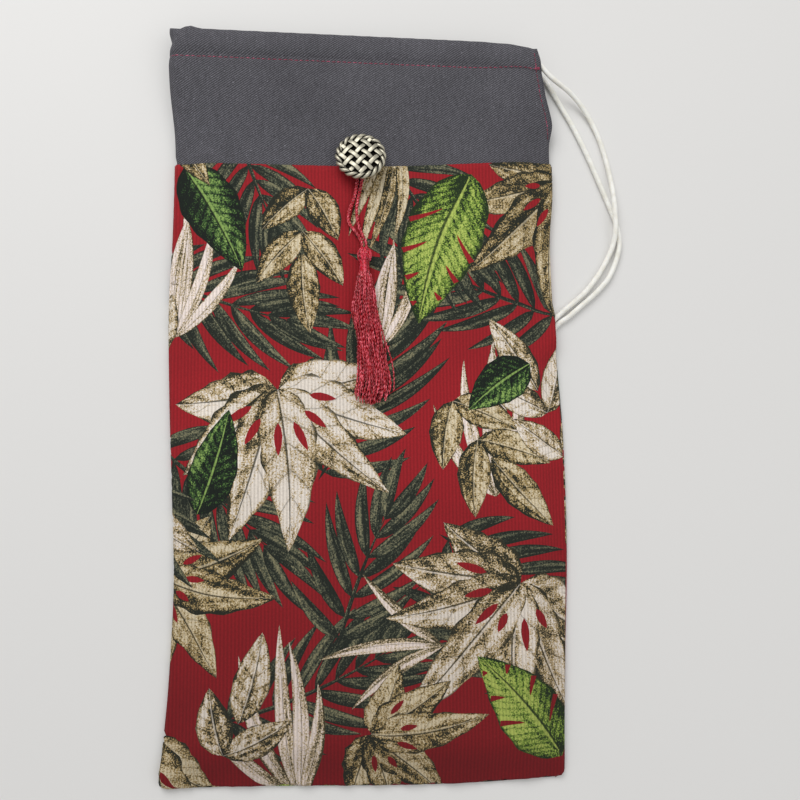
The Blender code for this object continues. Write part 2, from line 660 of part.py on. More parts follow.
def make_tassel_head(finish):
    """The gathered ball of thread at the top of the tassel."""
    half = HEAD_LENGTH / 2
    stations = []
    for k in range(9):
        a = math.pi * (0.06 + 0.88 * k / 8)
        down = half - half * math.cos(a) / math.cos(0.06 * math.pi)
        stations.append((down, HEAD_WIDTH / 2 * math.sin(a) ** 0.8, HEAD_HEIGHT / 2))
    rings = []
    for down, half_width, half_height in stations:
        fullness = half_width / (HEAD_WIDTH / 2)
        ring = []
        for a in steps(0.0, 2 * math.pi, 18):
            ring.append(Vector((TASSEL_X + half_width * math.cos(a), HEAD_Y - down,
                                REST_Z + half_height * (1 + fullness * math.sin(a)))))
        rings.append(ring)
    return skin("tassel_head", rings, finish)


def make_tassel_binding(finish):
    """The turns of thread that close the tassel's neck."""
    start = HEAD_LENGTH + FIT
    ridge = 0.12
    centre = REST_Z + HEAD_HEIGHT / 2
    rings = []
    for k in range(2 * BINDING_TURNS + 1):
        radius = BINDING_WIDTH / 2 * (1 - ridge * (1 - k % 2))
        y = HEAD_Y - start - BINDING_LENGTH * k / (2 * BINDING_TURNS)
        rings.append([Vector((TASSEL_X + radius * math.cos(a), y, centre + radius * math.sin(a)))
                      for a in steps(0.0, 2 * math.pi, 16)])
    return skin("tassel_binding", rings, finish)


def make_tassel_skirt(finish):
    """The hanging threads, as one fluted and flattened bundle."""
    start = HEAD_LENGTH + BINDING_LENGTH + 2 * FIT
    stations = [(start + share * SKIRT_LENGTH, half_width, half_height)
                for share, half_width, half_height in SKIRT_SHAPE]
    rings = tassel_rings(stations, SKIRT_FLUTES, 0.16, 4 * SKIRT_FLUTES, 0.0, TASSEL_LEAN)
    return skin("tassel_skirt", rings, finish)


def build():
    for old in list(bpy.data.objects):
        bpy.data.objects.remove(old)
    make_print_cloth(material("printed_cotton", (0.27, 0.03, 0.04), 0.9))
    make_top_band(material("grey_twill", (0.09, 0.09, 0.105), 0.9))
    white_cord = material("white_cord", (0.78, 0.78, 0.74), 0.8)
    make_drawstring(white_cord)
    make_knot(white_cord)
    make_button(material("antique_silver", (0.60, 0.58, 0.53), 0.35, 1.0))
    red_thread = material("red_thread", (0.36, 0.02, 0.05), 0.6)
    pivot = bpy.data.objects.new("tassel_pivot", None)
    bpy.context.scene.collection.objects.link(pivot)
    pivot.location = (BUTTON_X, BUTTON_Y, REST_Z)
    for make in (make_tassel_loop, make_tassel_head, make_tassel_binding, make_tassel_skirt):
        piece = make(red_thread)
        piece.data.transform(Matrix.Translation(-pivot.location))
        piece.parent = pivot


build()
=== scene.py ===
"""Looks of a flat drawstring pouch: printed cotton, a twill band, a woven button and a tassel.

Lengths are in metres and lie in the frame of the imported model, X across the pouch, Y along
it to the mouth and Z out of its front.
"""

import math
import random

import bmesh
import bpy
import numpy as np
from mathutils import Euler, Matrix, Vector, geometry, noise


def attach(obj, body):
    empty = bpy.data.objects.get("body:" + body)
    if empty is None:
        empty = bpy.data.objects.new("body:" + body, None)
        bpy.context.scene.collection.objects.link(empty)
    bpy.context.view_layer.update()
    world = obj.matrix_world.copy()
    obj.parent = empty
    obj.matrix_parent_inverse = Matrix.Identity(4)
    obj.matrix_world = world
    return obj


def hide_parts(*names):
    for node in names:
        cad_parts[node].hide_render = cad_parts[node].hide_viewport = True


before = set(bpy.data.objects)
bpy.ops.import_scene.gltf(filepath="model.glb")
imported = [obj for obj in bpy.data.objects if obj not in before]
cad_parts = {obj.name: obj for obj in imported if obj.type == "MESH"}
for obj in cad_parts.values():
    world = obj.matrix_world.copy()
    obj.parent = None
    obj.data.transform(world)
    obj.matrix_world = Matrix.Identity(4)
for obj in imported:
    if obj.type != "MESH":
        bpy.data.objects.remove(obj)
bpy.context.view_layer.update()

MM = 0.001
FULL_TURN = 2 * math.pi

# The cloth pieces
BAG_WIDTH = 0.1745
BAG_HEIGHT = 0.336
COTTON = 0.0006
TWILL = 0.0006
FIT = 0.0003
TUCK_PLAY = 0.0005
LOFT = 0.0084
FOLD_THICK = 0.0034
SEAM_THICK = 0.0056
BOTTOM_THICK = 0.0022
BOTTOM_RAMP = 0.020
BOTTOM_CORNER = 0.0032
SIDE_RAMP = 0.015

# The band, its casing and its slit
BAND_DEPTH = 0.0615
BAND_TUCK = 0.008
BAND_RISE = 0.005
CASING_DEPTH = 0.0115
CORD_PLAY = 0.0004
CASING_SWELL = 2.2
CASING_FLATNESS = 0.8
CORD_HEIGHT = 0.65
MOUTH_GAP = 0.0050
SLIT_DEPTH = 0.050
SLIT_RUN = 0.012
SLIT_SINK = 0.0022
SLIT_HEM = 0.0024
BAND_COLUMNS = 70
SWELL_ROWS = (0.03, 0.08, 0.15, 0.24, 0.34, 0.45, 0.56, 0.66, 0.75, 0.83, 0.90, 0.95, 0.985)

# The stitches, and each one's share of its length, rise and girth in widths of its thread
STITCH_PITCH = 0.0024
STITCH_GAP = 0.0003
STITCH_WIDTH = 0.00036
STITCH_LOW = 0.0004
STITCH_SHAPE = ((-0.02, -0.9, 0.5), (0.08, -0.05, 0.85), (0.3, 0.45, 1.0), (0.5, 0.55, 1.0),
                (0.7, 0.45, 1.0), (0.92, -0.05, 0.85), (1.02, -0.9, 0.5))

# How far the worn edges stray: from the straight side, outwards, by share of the half height
LEFT_DRIFT = (
    (-1.0, 0.0012), (-0.72, -0.0016), (-0.48, -0.0030), (-0.25, -0.0016), (0.0, 0.0002),
    (0.25, 0.0011), (0.45, -0.0002), (0.70, -0.0003), (0.86, 0.0022), (1.0, 0.0028),
)
RIGHT_DRIFT = (
    (-1.0, -0.0012), (-0.70, 0.0006), (-0.40, 0.0028), (-0.10, 0.0028), (0.18, 0.0006),
    (0.42, -0.0005), (0.54, 0.0014), (0.66, 0.0015), (0.77, 0.0013), (0.88, -0.0026),
    (1.0, -0.0050),
)
TOP_DROP = 0.0012
TOP_CORNER_DROP = 0.0013
BOTTOM_RISE = 0.0031
BOTTOM_CORNER_RISE = 0.0009

# The drawstring and its knot
CORD = 0.0024
BRAID_PITCH = 0.0034
KNOT_TURN = 0.66
KNOT_FLATNESS = 0.85
KNOT_STUB = 0.009
TENT_PLAY = 0.0005
TENT_FALL = 0.011
STRAND_FALL = 0.006
FRONT_ROUTE = (
    (0.0806, 0.1584, 0.0096), (0.083, 0.1577, 0.0096), (0.085, 0.1557, 0.0094),
    (0.0874, 0.1534, 0.0089),
    (0.0906, 0.1511, 0.0082), (0.0974, 0.1472, 0.006), (0.1034, 0.1423, 0.0036),
    (0.1089, 0.135, 0.0018), (0.1129, 0.1264, 0.0013), (0.1157, 0.1167, 0.0013),
    (0.1176, 0.1058, 0.0021), (0.1183, 0.0953, 0.0038),
    (0.1185, 0.0876, 0.0041), (0.1185, 0.0805, 0.0038), (0.1175, 0.0735, 0.0023),
    (0.1141, 0.0656, 0.0013), (0.1097, 0.0585, 0.0013), (0.1038, 0.0511, 0.0013),
    (0.0981, 0.0459, 0.0013), (0.0932, 0.042, 0.0013), (0.0883, 0.0376, 0.0013),
    (0.0836, 0.0332, 0.0013), (0.0793, 0.0284, 0.0013), (0.0755, 0.0232, 0.0013),
    (0.0721, 0.0187, 0.0015), (0.0695, 0.0155, 0.002),
)
REAR_ROUTE = (
    (0.0806, 0.1584, 0.00225), (0.0831, 0.1579, 0.00225), (0.0854, 0.1563, 0.00205),
    (0.0875, 0.1541, 0.0016), (0.0895, 0.1512, 0.0013), (0.0917, 0.1472, 0.0013),
    (0.096, 0.1395, 0.0013),
    (0.1, 0.1323, 0.0013), (0.1041, 0.1237, 0.0013), (0.1082, 0.1143, 0.0013),
    (0.1118, 0.1052, 0.0013), (0.1151, 0.0966, 0.0013), (0.1178, 0.0894, 0.0013),
    (0.1202, 0.0821, 0.0013), (0.121, 0.0742, 0.0013), (0.119, 0.0661, 0.0013),
    (0.115, 0.0576, 0.0013), (0.1103, 0.0521, 0.0013), (0.106, 0.048, 0.0013),
    (0.0998, 0.0428, 0.0013), (0.095, 0.0388, 0.0013), (0.0901, 0.0354, 0.0013),
    (0.0856, 0.0312, 0.0013), (0.0815, 0.0266, 0.0013), (0.0777, 0.0216, 0.0013),
    (0.0743, 0.0169, 0.0015), (0.0717, 0.0136, 0.002),
)
KNOT_X = 0.0662
KNOT_Y = 0.0098

# The button
BUTTON_X = -0.0026
BUTTON_Y = 0.109
BUTTON_DIAMETER = 0.0235
BUTTON_TILT = (math.radians(-12), math.radians(-4), 0.0)
ROPE_STRAND = 0.0017
ROPE_SPREAD = 0.00075
ROPE_TURNS = 9
ROPE_LEVEL = 0.0014
STRAP_WIDTH = 0.00185
STRAP_THICK = 0.00062
STRAP_PITCH = 0.0041
STRAP_WAVE = 0.00033
STRAP_RAISE = 0.0003
STRAP_ROWS = 4
STRAP_ANGLE = math.radians(-42)
DOME_RISE = 0.0016
PLATE_THICK = 0.0011
SHANK_RING = 0.0018
SHANK_WIRE = 0.0014
SHANK_DROP = 1.05

# The tassel
TASSEL_X = -0.0012
HEAD_Y = 0.0670
LOOP_CORD = 0.0017
LOOP_LEFT = [
    (-0.0022, 0.0668, 0.0000), (-0.0024, 0.0698, 0.0), (-0.0035, 0.0727, 0.0),
    (-0.0055, 0.0758, 0.0), (-0.0076, 0.0786, 0.0), (-0.0084, 0.0822, 0.0),
    (-0.0072, 0.0865, 0.0), (-0.0057, 0.0908, 0.0), (-0.0046, 0.0955, 0.0),
    (-0.0040, 0.1005, 0.0), (-0.0046, 0.1045, 0.0),
]
LOOP_RIGHT = [
    (-0.0010, 0.1045, 0.0), (-0.0018, 0.1005, 0.0), (-0.0028, 0.0950, 0.0),
    (-0.0038, 0.0903, 0.0), (-0.0045, 0.0862, 0.0), (-0.0042, 0.0812, 0.0),
    (-0.0031, 0.0764, 0.0), (-0.0014, 0.0724, 0.0), (-0.0004, 0.0695, 0.0),
    (-0.0003, 0.0668, 0.0),
]
HEAD_RISE_RUN = 0.012
HEAD_LENGTH = 0.0061
HEAD_WIDTH = 0.0062
HEAD_HEIGHT = 0.0054
BINDING_LENGTH = 0.0040
BINDING_WIDTH = 0.0045
SKIRT_LENGTH = 0.0600
SKIRT_SHAPE = (
    (0.0, 0.0024, 0.0023), (0.05, 0.0034, 0.0027), (0.12, 0.0044, 0.0029),
    (0.25, 0.0056, 0.0029), (0.38, 0.0064, 0.0026), (0.58, 0.0066, 0.0023),
    (0.80, 0.0075, 0.0020), (0.95, 0.0082, 0.0018), (1.0, 0.0078, 0.0016),
)
SKIRT_MIDDLE = (
    (0.0, 0.0), (0.18, 0.0002), (0.30, 0.0000), (0.45, 0.0016), (0.62, 0.0028),
    (0.84, 0.0040), (1.0, 0.0024),
)
SKIRT_THREADS = 110
TASSEL_THREAD = 0.00052
WINDINGS = 10
GOLDEN_ANGLE = 2.399963
STRAY_STEP = 10
STRAYS = (0.0018, 0.0034, -0.0014, 0.0042, 0.0030, -0.0016, 0.0040, 0.0022, 0.0036, -0.0012,
          0.0030)

# Creases and gathers of the cloth: how deep they are, where they lie and how far they reach
GROOVE = 0.0004
GROOVE_WIDTH = 0.0012
TUCK_LINE = 0.0016
TUCK_GATHERS = 0.00016
TUCK_CREASE = 0.00022
BOTTOM_WAVES = (0.00025, 0.00055)
BOTTOM_WAVES_REACH = 0.011
CORNER_LIFT = 0.0016
CORNER_REACH = 0.0045
CASING_GATHERS = 0.00014
MOUTH_GATHERS = 0.00012
STITCH_CREASE = 0.00028
HEM_RISE = 0.0003
HEM_RUN = 0.0006
NUB = 0.0019
MOUTH_REACH = 0.007

# The mesh of the printed cloth, in millimetres: its cells and its rows near the bottom edge
CELL = 2.6
BOTTOM_ROWS = (0.35, 0.8, 1.3, 1.75)
EDGE_COLUMNS = (0.45, 1.25)
LINE_STEPS = 60
SNAP = 1e-4
PRINT_SEED = 5

# The colour layers of the printed cloth, and how full its leaves are: less is fuller
LAYERS = ("Light", "Middle", "Dark", "Leaf")
BELLY = 0.85

# The length in which a wave texture of scale 1 repeats
WAVE_UNIT = 0.314159

# The camera's three turns in degrees, and its place
CAMERA_TURNS = ((-6.599, "X"), (5.631, "Y"), (0.746, "Z"))
CAMERA_PLACE = (-0.02353, -0.04467, 0.38639)

# The lamps: name, place, size and power
LAMPS = (("key", (-0.45, 0.95, 1.0), 0.9, 12.5), ("fill", (0.9, -0.3, 1.3), 1.2, 4.6))

# Strength of the sky as a light, and as the eye and shiny surfaces see it
SKY_LIGHT = 0.47
SKY_SEEN = 0.72

# Worked out from the sizes above
HALF_WIDTH = BAG_WIDTH / 2
TOP_Y = BAG_HEIGHT / 2
BOTTOM_Y = -BAG_HEIGHT / 2
SEAM_Y = TOP_Y - BAND_DEPTH
TUCK_Y = SEAM_Y - BAND_TUCK
STITCH_Y = TOP_Y - CASING_DEPTH
CASING_SEAM_Y = STITCH_Y - 0.0014
SLIT_Y = TOP_Y - SLIT_DEPTH
UNDERLAP = COTTON + TUCK_PLAY
TUNNEL = CORD + 2 * CORD_PLAY
CASING_THICK = TUNNEL + 2 * TWILL
MOUTH_LOFT = 2 * CASING_THICK + MOUTH_GAP
SLIT_LOFT = MOUTH_LOFT - SLIT_SINK
CORD_INSET = UNDERLAP + TWILL + 0.89 * (TUNNEL / 2 - UNDERLAP)
KNOT_SIZE = KNOT_TURN * CORD
KNOT_RADIUS = 3 * KNOT_SIZE + CORD / 2
KNOT_HEIGHT = 2 * KNOT_SIZE * KNOT_FLATNESS + CORD
KNOT_LIFT = KNOT_HEIGHT + TENT_PLAY
STRAND_LIFT = CORD + TENT_PLAY
PAIR_REACH = CORD * 1.6
REST_Z = LOFT + FIT
UP = Vector((0, 0, 1))
FLOOR_PLAY = 0.00005


# Shapes of the pouch

def smooth(t):
    t = min(max(t, 0.0), 1.0)
    return t * t * (3 - 2 * t)


def mix(a, b, share):
    return a + (b - a) * share


def steps(start, end, count):
    return [mix(start, end, k / count) for k in range(count)]


def ends(start, end, count):
    """Evenly spaced places from start to end, with both of them."""
    return [mix(start, end, k / count) for k in range(count + 1)]


def bump(distance, width):
    """1 on a line and falling off on both sides of it."""
    return math.exp(-(distance / width) ** 2)


def through(stops, place):
    """The value at a place on a smooth line through stops of (place, value)."""
    place = min(max(place, stops[0][0]), stops[-1][0])
    k = max(i for i in range(len(stops) - 1) if stops[i][0] <= place)

    def slope(i):
        if i in (0, len(stops) - 1):
            return 0.0
        return (stops[i + 1][1] - stops[i - 1][1]) / (stops[i + 1][0] - stops[i - 1][0])

    run = stops[k + 1][0] - stops[k][0]
    t = (place - stops[k][0]) / run
    start = stops[k][1] * (1 + 2 * t) * (1 - t) ** 2 + slope(k) * run * t * (1 - t) ** 2
    end = stops[k + 1][1] * t * t * (3 - 2 * t) + slope(k + 1) * run * t * t * (t - 1)
    return start + end


def curve_through(route, spacing):
    """Points about this far apart on a smooth curve through the points of a route."""
    knots = [Vector(p) for p in route]
    dense = []
    for k in range(len(knots) - 1):
        before = knots[max(k - 1, 0)]
        after = knots[min(k + 2, len(knots) - 1)]
        a, b = knots[k], knots[k + 1]
        for t in steps(0.0, 1.0, 24):
            point = (2 * a + (b - before) * t + (2 * before - 5 * a + 4 * b - after) * t * t
                     + (3 * a - before - 3 * b + after) * t ** 3)
            dense.append(point / 2)
    dense.append(knots[-1])
    length = sum((q - p).length for p, q in zip(dense, dense[1:]))
    count = max(round(length / spacing), 1)
    points, walked, made = [dense[0]], 0.0, 1
    for p, q in zip(dense, dense[1:]):
        step = (q - p).length
        while made < count and walked + step >= length * made / count:
            share = (length * made / count - walked) / step
            points.append(p.lerp(q, share))
            made += 1
        walked += step
    return points + [dense[-1]]


def path_length(points):
    return sum((q - p).length for p, q in zip(points, points[1:]))


def rounding(y):
    """0 at the bottom edge and 1 where its rounded corners end."""
    t = min(max((y - BOTTOM_Y) / BOTTOM_CORNER, 0.0), 1.0)
    return math.sqrt(1 - (1 - t) ** 2)


def left_side(y):
    return -HALF_WIDTH - through(LEFT_DRIFT, y / TOP_Y) + BOTTOM_CORNER * (1 - rounding(y))


def right_side(y):
    return HALF_WIDTH + through(RIGHT_DRIFT, y / TOP_Y) - BOTTOM_CORNER * (1 - rounding(y))


def corner_drop(x):
    """How far the mouth's right corner hangs below the line of the mouth."""
    return TOP_CORNER_DROP * smooth((x - 0.55 * HALF_WIDTH) / (0.5 * HALF_WIDTH))


def lie(x, y):
    """Where a line straight across the flat pouch lies once its ends have crept."""
    right = x / BAG_WIDTH + 0.5
    top = TOP_DROP * right + corner_drop(x)
    seam = BAND_RISE * smooth((right - 0.44) / 0.62)
    low = BOTTOM_RISE * (1 - smooth((right - 0.04) / 0.68))
    low += BOTTOM_CORNER_RISE * smooth((right - 0.76) / 0.22)
    at_top = smooth((y - SEAM_Y) / (STITCH_Y - SEAM_Y))
    at_seam = smooth((y - TUCK_Y + 0.05) / 0.046) * (1 - smooth((y - SEAM_Y - 0.003) / 0.036))
    at_bottom = 1 - smooth((y - BOTTOM_Y) / 0.045)
    return y - top * at_top + seam * at_seam + low * at_bottom


def loft(y):
    full = mix(LOFT, MOUTH_LOFT, smooth((y - SEAM_Y) / (TOP_Y - CASING_DEPTH / 2 - SEAM_Y)))
    return mix(BOTTOM_THICK, full, smooth((y - BOTTOM_Y) / BOTTOM_RAMP))


def side_loft(y, at_mouth):
    body = mix(FOLD_THICK, SEAM_THICK, smooth(y / SEAM_Y))
    full = mix(body, at_mouth, smooth((y - SEAM_Y) / (TOP_Y - CASING_DEPTH / 2 - SEAM_Y)))
    return mix(BOTTOM_THICK, full, smooth((y - BOTTOM_Y) / (BOTTOM_RAMP / 2)))


def strand_distance(x, y):
    """Distance from the line midway between the two strands under the pouch."""
    count = 7
    pairs = [((a[0] + b[0]) / 2, (a[1] + b[1]) / 2)
             for a, b in zip(FRONT_ROUTE[-count:], REAR_ROUTE[-count:])]
    near = []
    for (ax, ay), (bx, by) in zip(pairs, pairs[1:]):
        dx, dy = bx - ax, by - ay
        t = ((x - ax) * dx + (y - ay) * dy) / (dx * dx + dy * dy)
        t = min(max(t, 0.0), 1.0)
        near.append(math.hypot(x - ax - t * dx, y - ay - t * dy))
    return min(near)


def tent(x, y):
    """How far the knot and the two strands under the pouch lift its back."""
    if not (0.02 < x < 0.12 and -0.03 < y < 0.08):
        return 0.0
    off_knot = math.hypot(x - KNOT_X, y - KNOT_Y) - KNOT_RADIUS * 1.2
    over_knot = KNOT_LIFT * (1 - smooth(off_knot / TENT_FALL))
    off_pair = strand_distance(x, y) - PAIR_REACH
    over_pair = STRAND_LIFT * (1 - smooth(off_pair / STRAND_FALL))
    return (over_knot ** 4 + over_pair ** 4) ** 0.25


def sides(y):
    """Centre and radius of the rounded left side, then of the right one."""
    left, right = side_loft(y, MOUTH_LOFT) / 2, side_loft(y, SLIT_LOFT) / 2
    spread = smooth((y - SLIT_Y) / SLIT_RUN)
    return left_side(y) + left, left, right_side(y) - right * (1 - spread), right


def heights(x, y):
    """Heights of the back skin and of the front skin."""
    left, left_radius, right, right_radius = sides(y)
    by_left = 1 - smooth((x - left) / SIDE_RAMP)
    by_right = 1 - smooth((right - x) / SIDE_RAMP)
    back, full = tent(x, lie(x, y)), loft(y)
    front = full + (2 * left_radius - full) * by_left + (2 * right_radius - full) * by_right
    return back, front + back * max(by_left, by_right)


def skin_point(x, y, inset, face):
    probe = 0.0005
    across = (heights(x + probe, y)[face] - heights(x - probe, y)[face]) / (2 * probe)
    along = (heights(x, y + probe)[face] - heights(x, y - probe)[face]) / (2 * probe)
    depth = inset * math.sqrt(1 + across ** 2 + along ** 2)
    return Vector((x, lie(x, y), heights(x, y)[face] + (-depth if face else depth)))


def side_point(centre, radius, y, inset, angle):
    x = centre + (radius - inset) * math.cos(angle)
    z = tent(centre, lie(centre, y)) + radius + (radius - inset) * math.sin(angle)
    return Vector((x, lie(x, y), z))


def seam_shift(y):
    """How far the right seam has rolled from the edge onto the front, below the slit."""
    return 0.0 if y > SLIT_Y else 0.0016 * bump(y + 0.045, 0.075)


def around(share, y, inset):
    """A point on the pouch: share 0 is the left fold, 1 the right seam over the front, and
    -1 the right seam over the back."""
    left, left_radius, right, right_radius = sides(y)
    spread = smooth((y - SLIT_Y) / SLIT_RUN)
    last = math.acos(1 - spread)
    turn_in, flat = left_radius * math.pi / 2, right - left
    turn_out = right_radius * (math.pi / 2 - last)
    whole = turn_in + flat + turn_out
    shift = seam_shift(y)
    walked = abs(share) * (whole - shift if share > 0 else whole + shift)
    face = 1 if share > 0 else 0
    if walked > whole:
        walked, face = 2 * whole - walked, 1
    upward = 1 if face else -1
    if walked < turn_in:
        angle = math.pi - upward * walked / left_radius
        return side_point(left, left_radius, y, inset, angle)
    if walked <= turn_in + flat:
        return skin_point(left + walked - turn_in, y, inset, face)
    angle = upward * (math.pi / 2 - (walked - turn_in - flat) / right_radius)
    return side_point(right, right_radius, y, inset, angle)


def undulate(x, y, face):
    """How far the loosely filled cloth sinks here and there."""
    wide = noise.noise(Vector((x / 0.055, y / 0.075, 3.7 * face)))
    small = noise.noise(Vector((x / 0.021, y / 0.030, 5.1 + 3.7 * face)))
    slack = 0.00042 * (0.5 + 0.5 * wide) + 0.00016 * (0.5 + 0.5 * small)
    return -slack * smooth((y - BOTTOM_Y) / 0.02)


def pucker(run, off, pitch, reach, seed):
    """Small gathers beside a line of stitches."""
    sway = 1.2 * noise.noise(Vector((run / 0.03, seed, 0.0)))
    return bump(off, reach) * math.sin(FULL_TURN * run / pitch + 3 * sway)


# Meshes

def link(name, data):
    made = bpy.data.objects.new(name, data)
    bpy.context.scene.collection.objects.link(made)
    return made


def finished(name, shell, finish, sharp=60.0, outward=True):
    """A piece from its skins, with their faces turned outwards."""
    if outward:
        bmesh.ops.recalc_face_normals(shell, faces=shell.faces)
    mesh = bpy.data.meshes.new(name)
    shell.to_mesh(mesh)
    shell.free()
    mesh.shade_smooth()
    mesh.set_sharp_from_angle(angle=math.radians(sharp))
    mesh.materials.append(finish)
    return link(name, mesh)


def add_rings(shell, rings, cyclic=False):
    """Adds a skin over equal rings of points, with flat ends unless it closes on itself."""
    rows = [[shell.verts.new(point) for point in ring] for ring in rings]
    count = len(rings[0])
    for low, high in zip(rows, rows[1:] + (rows[:1] if cyclic else [])):
        for k in range(count):
            after = (k + 1) % count
            shell.faces.new((low[k], low[after], high[after], high[k]))
    if not cyclic:
        shell.faces.new(list(reversed(rows[0])))
        shell.faces.new(rows[-1])


def from_rings(name, skins, finish, sharp=60.0, place=None):
    """A piece from its skins: for each the rings, and whether it closes on itself."""
    shell = bmesh.new()
    for rings, cyclic in skins:
        add_rings(shell, rings, cyclic)
    if place:
        shell.transform(place)
    return finished(name, shell, finish, sharp)


def oval(centre, across, up, count):
    """A ring of points round a centre, by its two half axes."""
    return [centre + math.cos(a) * across + math.sin(a) * up
            for a in steps(0.0, FULL_TURN, count)]


def walk(points, up=UP, cyclic=False):
    """Each point of a path, the length walked to it and the two cross directions there."""
    walked = 0.0
    for k, point in enumerate(points):
        before = points[k - 1] if k or cyclic else point
        after = points[(k + 1) % len(points)] if k < len(points) - 1 or cyclic else point
        ahead = (after - before).normalized()
        normal = (up - ahead * up.dot(ahead)).normalized()
        walked += (point - points[k - 1]).length if k else 0.0
        yield point, walked, normal, ahead.cross(normal)


def tube_rings(points, radius, count, up=UP, cyclic=False, shape=None):
    """Rings round a path. shape(angle, walked) gives a radius in place of a fixed one."""
    rings = []
    for point, walked, normal, beside in walk(points, up, cyclic):
        ring = []
        for a in steps(0.0, FULL_TURN, count):
            reach = shape(a, walked) if shape else radius
            ring.append(point + reach * (math.cos(a) * normal + math.sin(a) * beside))
        rings.append(ring)
    return rings


def twisted(points, spread, pitch, phase):
    """A strand that winds round a path."""
    strand = []
    for point, walked, normal, beside in walk(points):
        a = FULL_TURN * walked / pitch + phase
        strand.append(point + spread * (math.cos(a) * normal + math.sin(a) * beside))
    return strand


# Materials

def rgb(red, green, blue):
    """Linear colour of a screen colour from 0 to 255."""
    return tuple((c / 255 / 12.92) if c <= 10 else ((c / 255 + 0.055) / 1.055) ** 2.4
                 for c in (red, green, blue))


GROUND = rgb(148, 24, 32)
# The ground's colour at the bottom of the pouch, darker there as painted shade
GROUND_SHADED_LOW = rgb(104, 13, 19)
TWILL_GREY = rgb(83, 82, 87)


class Finish:
    """A material with a short way to add and join its nodes."""

    def __init__(self, name, colour, roughness, **sockets):
        self.material = bpy.data.materials.new(name)
        self.material.use_nodes = True
        self.tree = self.material.node_tree
        self.shader = self.tree.nodes["Principled BSDF"]
        self.shader.inputs["Base Color"].default_value = (*colour, 1.0)
        self.shader.inputs["Roughness"].default_value = roughness
        for socket, value in sockets.items():
            self.shader.inputs[socket.replace("_", " ")].default_value = value

    def put(self, socket, value):
        """Links a socket to another, or sets it to a colour or a number."""
        if isinstance(value, bpy.types.NodeSocket):
            self.tree.links.new(value, socket)
        elif socket.type == "RGBA":
            socket.default_value = (*value, 1.0)
        else:
            socket.default_value = value

    def add(self, kind, sockets=None, **settings):
        node = self.tree.nodes.new("ShaderNode" + kind)
        for key, value in settings.items():
            setattr(node, key, value)
        for key, value in (sockets or {}).items():
            self.put(node.inputs[key], value)
        return node

    def place(self, scale=(1.0, 1.0, 1.0), turn=0.0):
        where = self.add("TexCoord").outputs["Object"]
        return self.add("Mapping", {"Vector": where, "Scale": scale,
                                    "Rotation": (0.0, 0.0, turn)}).outputs["Vector"]

    def math(self, operation, a, b=0.0, c=0.0):
        return self.add("Math", {0: a, 1: b, 2: c}, operation=operation).outputs[0]

    def times(self, a, b):
        return self.math("MULTIPLY", a, b)

    def plus(self, a, b):
        return self.math("ADD", a, b)

    def minus(self, a, b):
        return self.math("SUBTRACT", a, b)

    def noise(self, size, detail=2.0, vector=None, roughness=0.5):
        return self.add("TexNoise", {"Scale": 1.0 / size, "Detail": detail,
                                     "Roughness": roughness,
                                     "Vector": vector or self.place()}).outputs["Fac"]

    def blend(self, share, a, b, how="MIX"):
        return self.add("Mix", {0: share, 6: a, 7: b}, data_type="RGBA",
                        blend_type=how).outputs[2]

    def ramp(self, value, low, high, to_low=0.0, to_high=1.0):
        return self.add("MapRange", {"Value": value, "From Min": low, "From Max": high,
                                     "To Min": to_low, "To Max": to_high}).outputs["Result"]

    def colour(self, value, shade=None):
        """Joins the base colour, times a grey shade where one is given."""
        if shade:
            grey = self.add("CombineColor", {"Red": shade, "Green": shade, "Blue": shade})
            value = self.blend(1.0, value, grey.outputs["Color"], "MULTIPLY")
        self.put(self.shader.inputs["Base Color"], value)

    def relief(self, height, strength, depth):
        node = self.add("Bump", {"Height": height, "Strength": strength, "Distance": depth})
        self.put(self.shader.inputs["Normal"], node.outputs["Normal"])

    def waves(self, pitch, turn=0.0, wobble=0.0):
        """0 to 1 and back along a direction turned from X, once each pitch."""
        return self.add("TexWave", {"Vector": self.place(turn=turn), "Scale": WAVE_UNIT / pitch,
                                    "Distortion": wobble, "Detail": 1.0,
                                    "Detail Scale": 1.5}).outputs["Fac"]


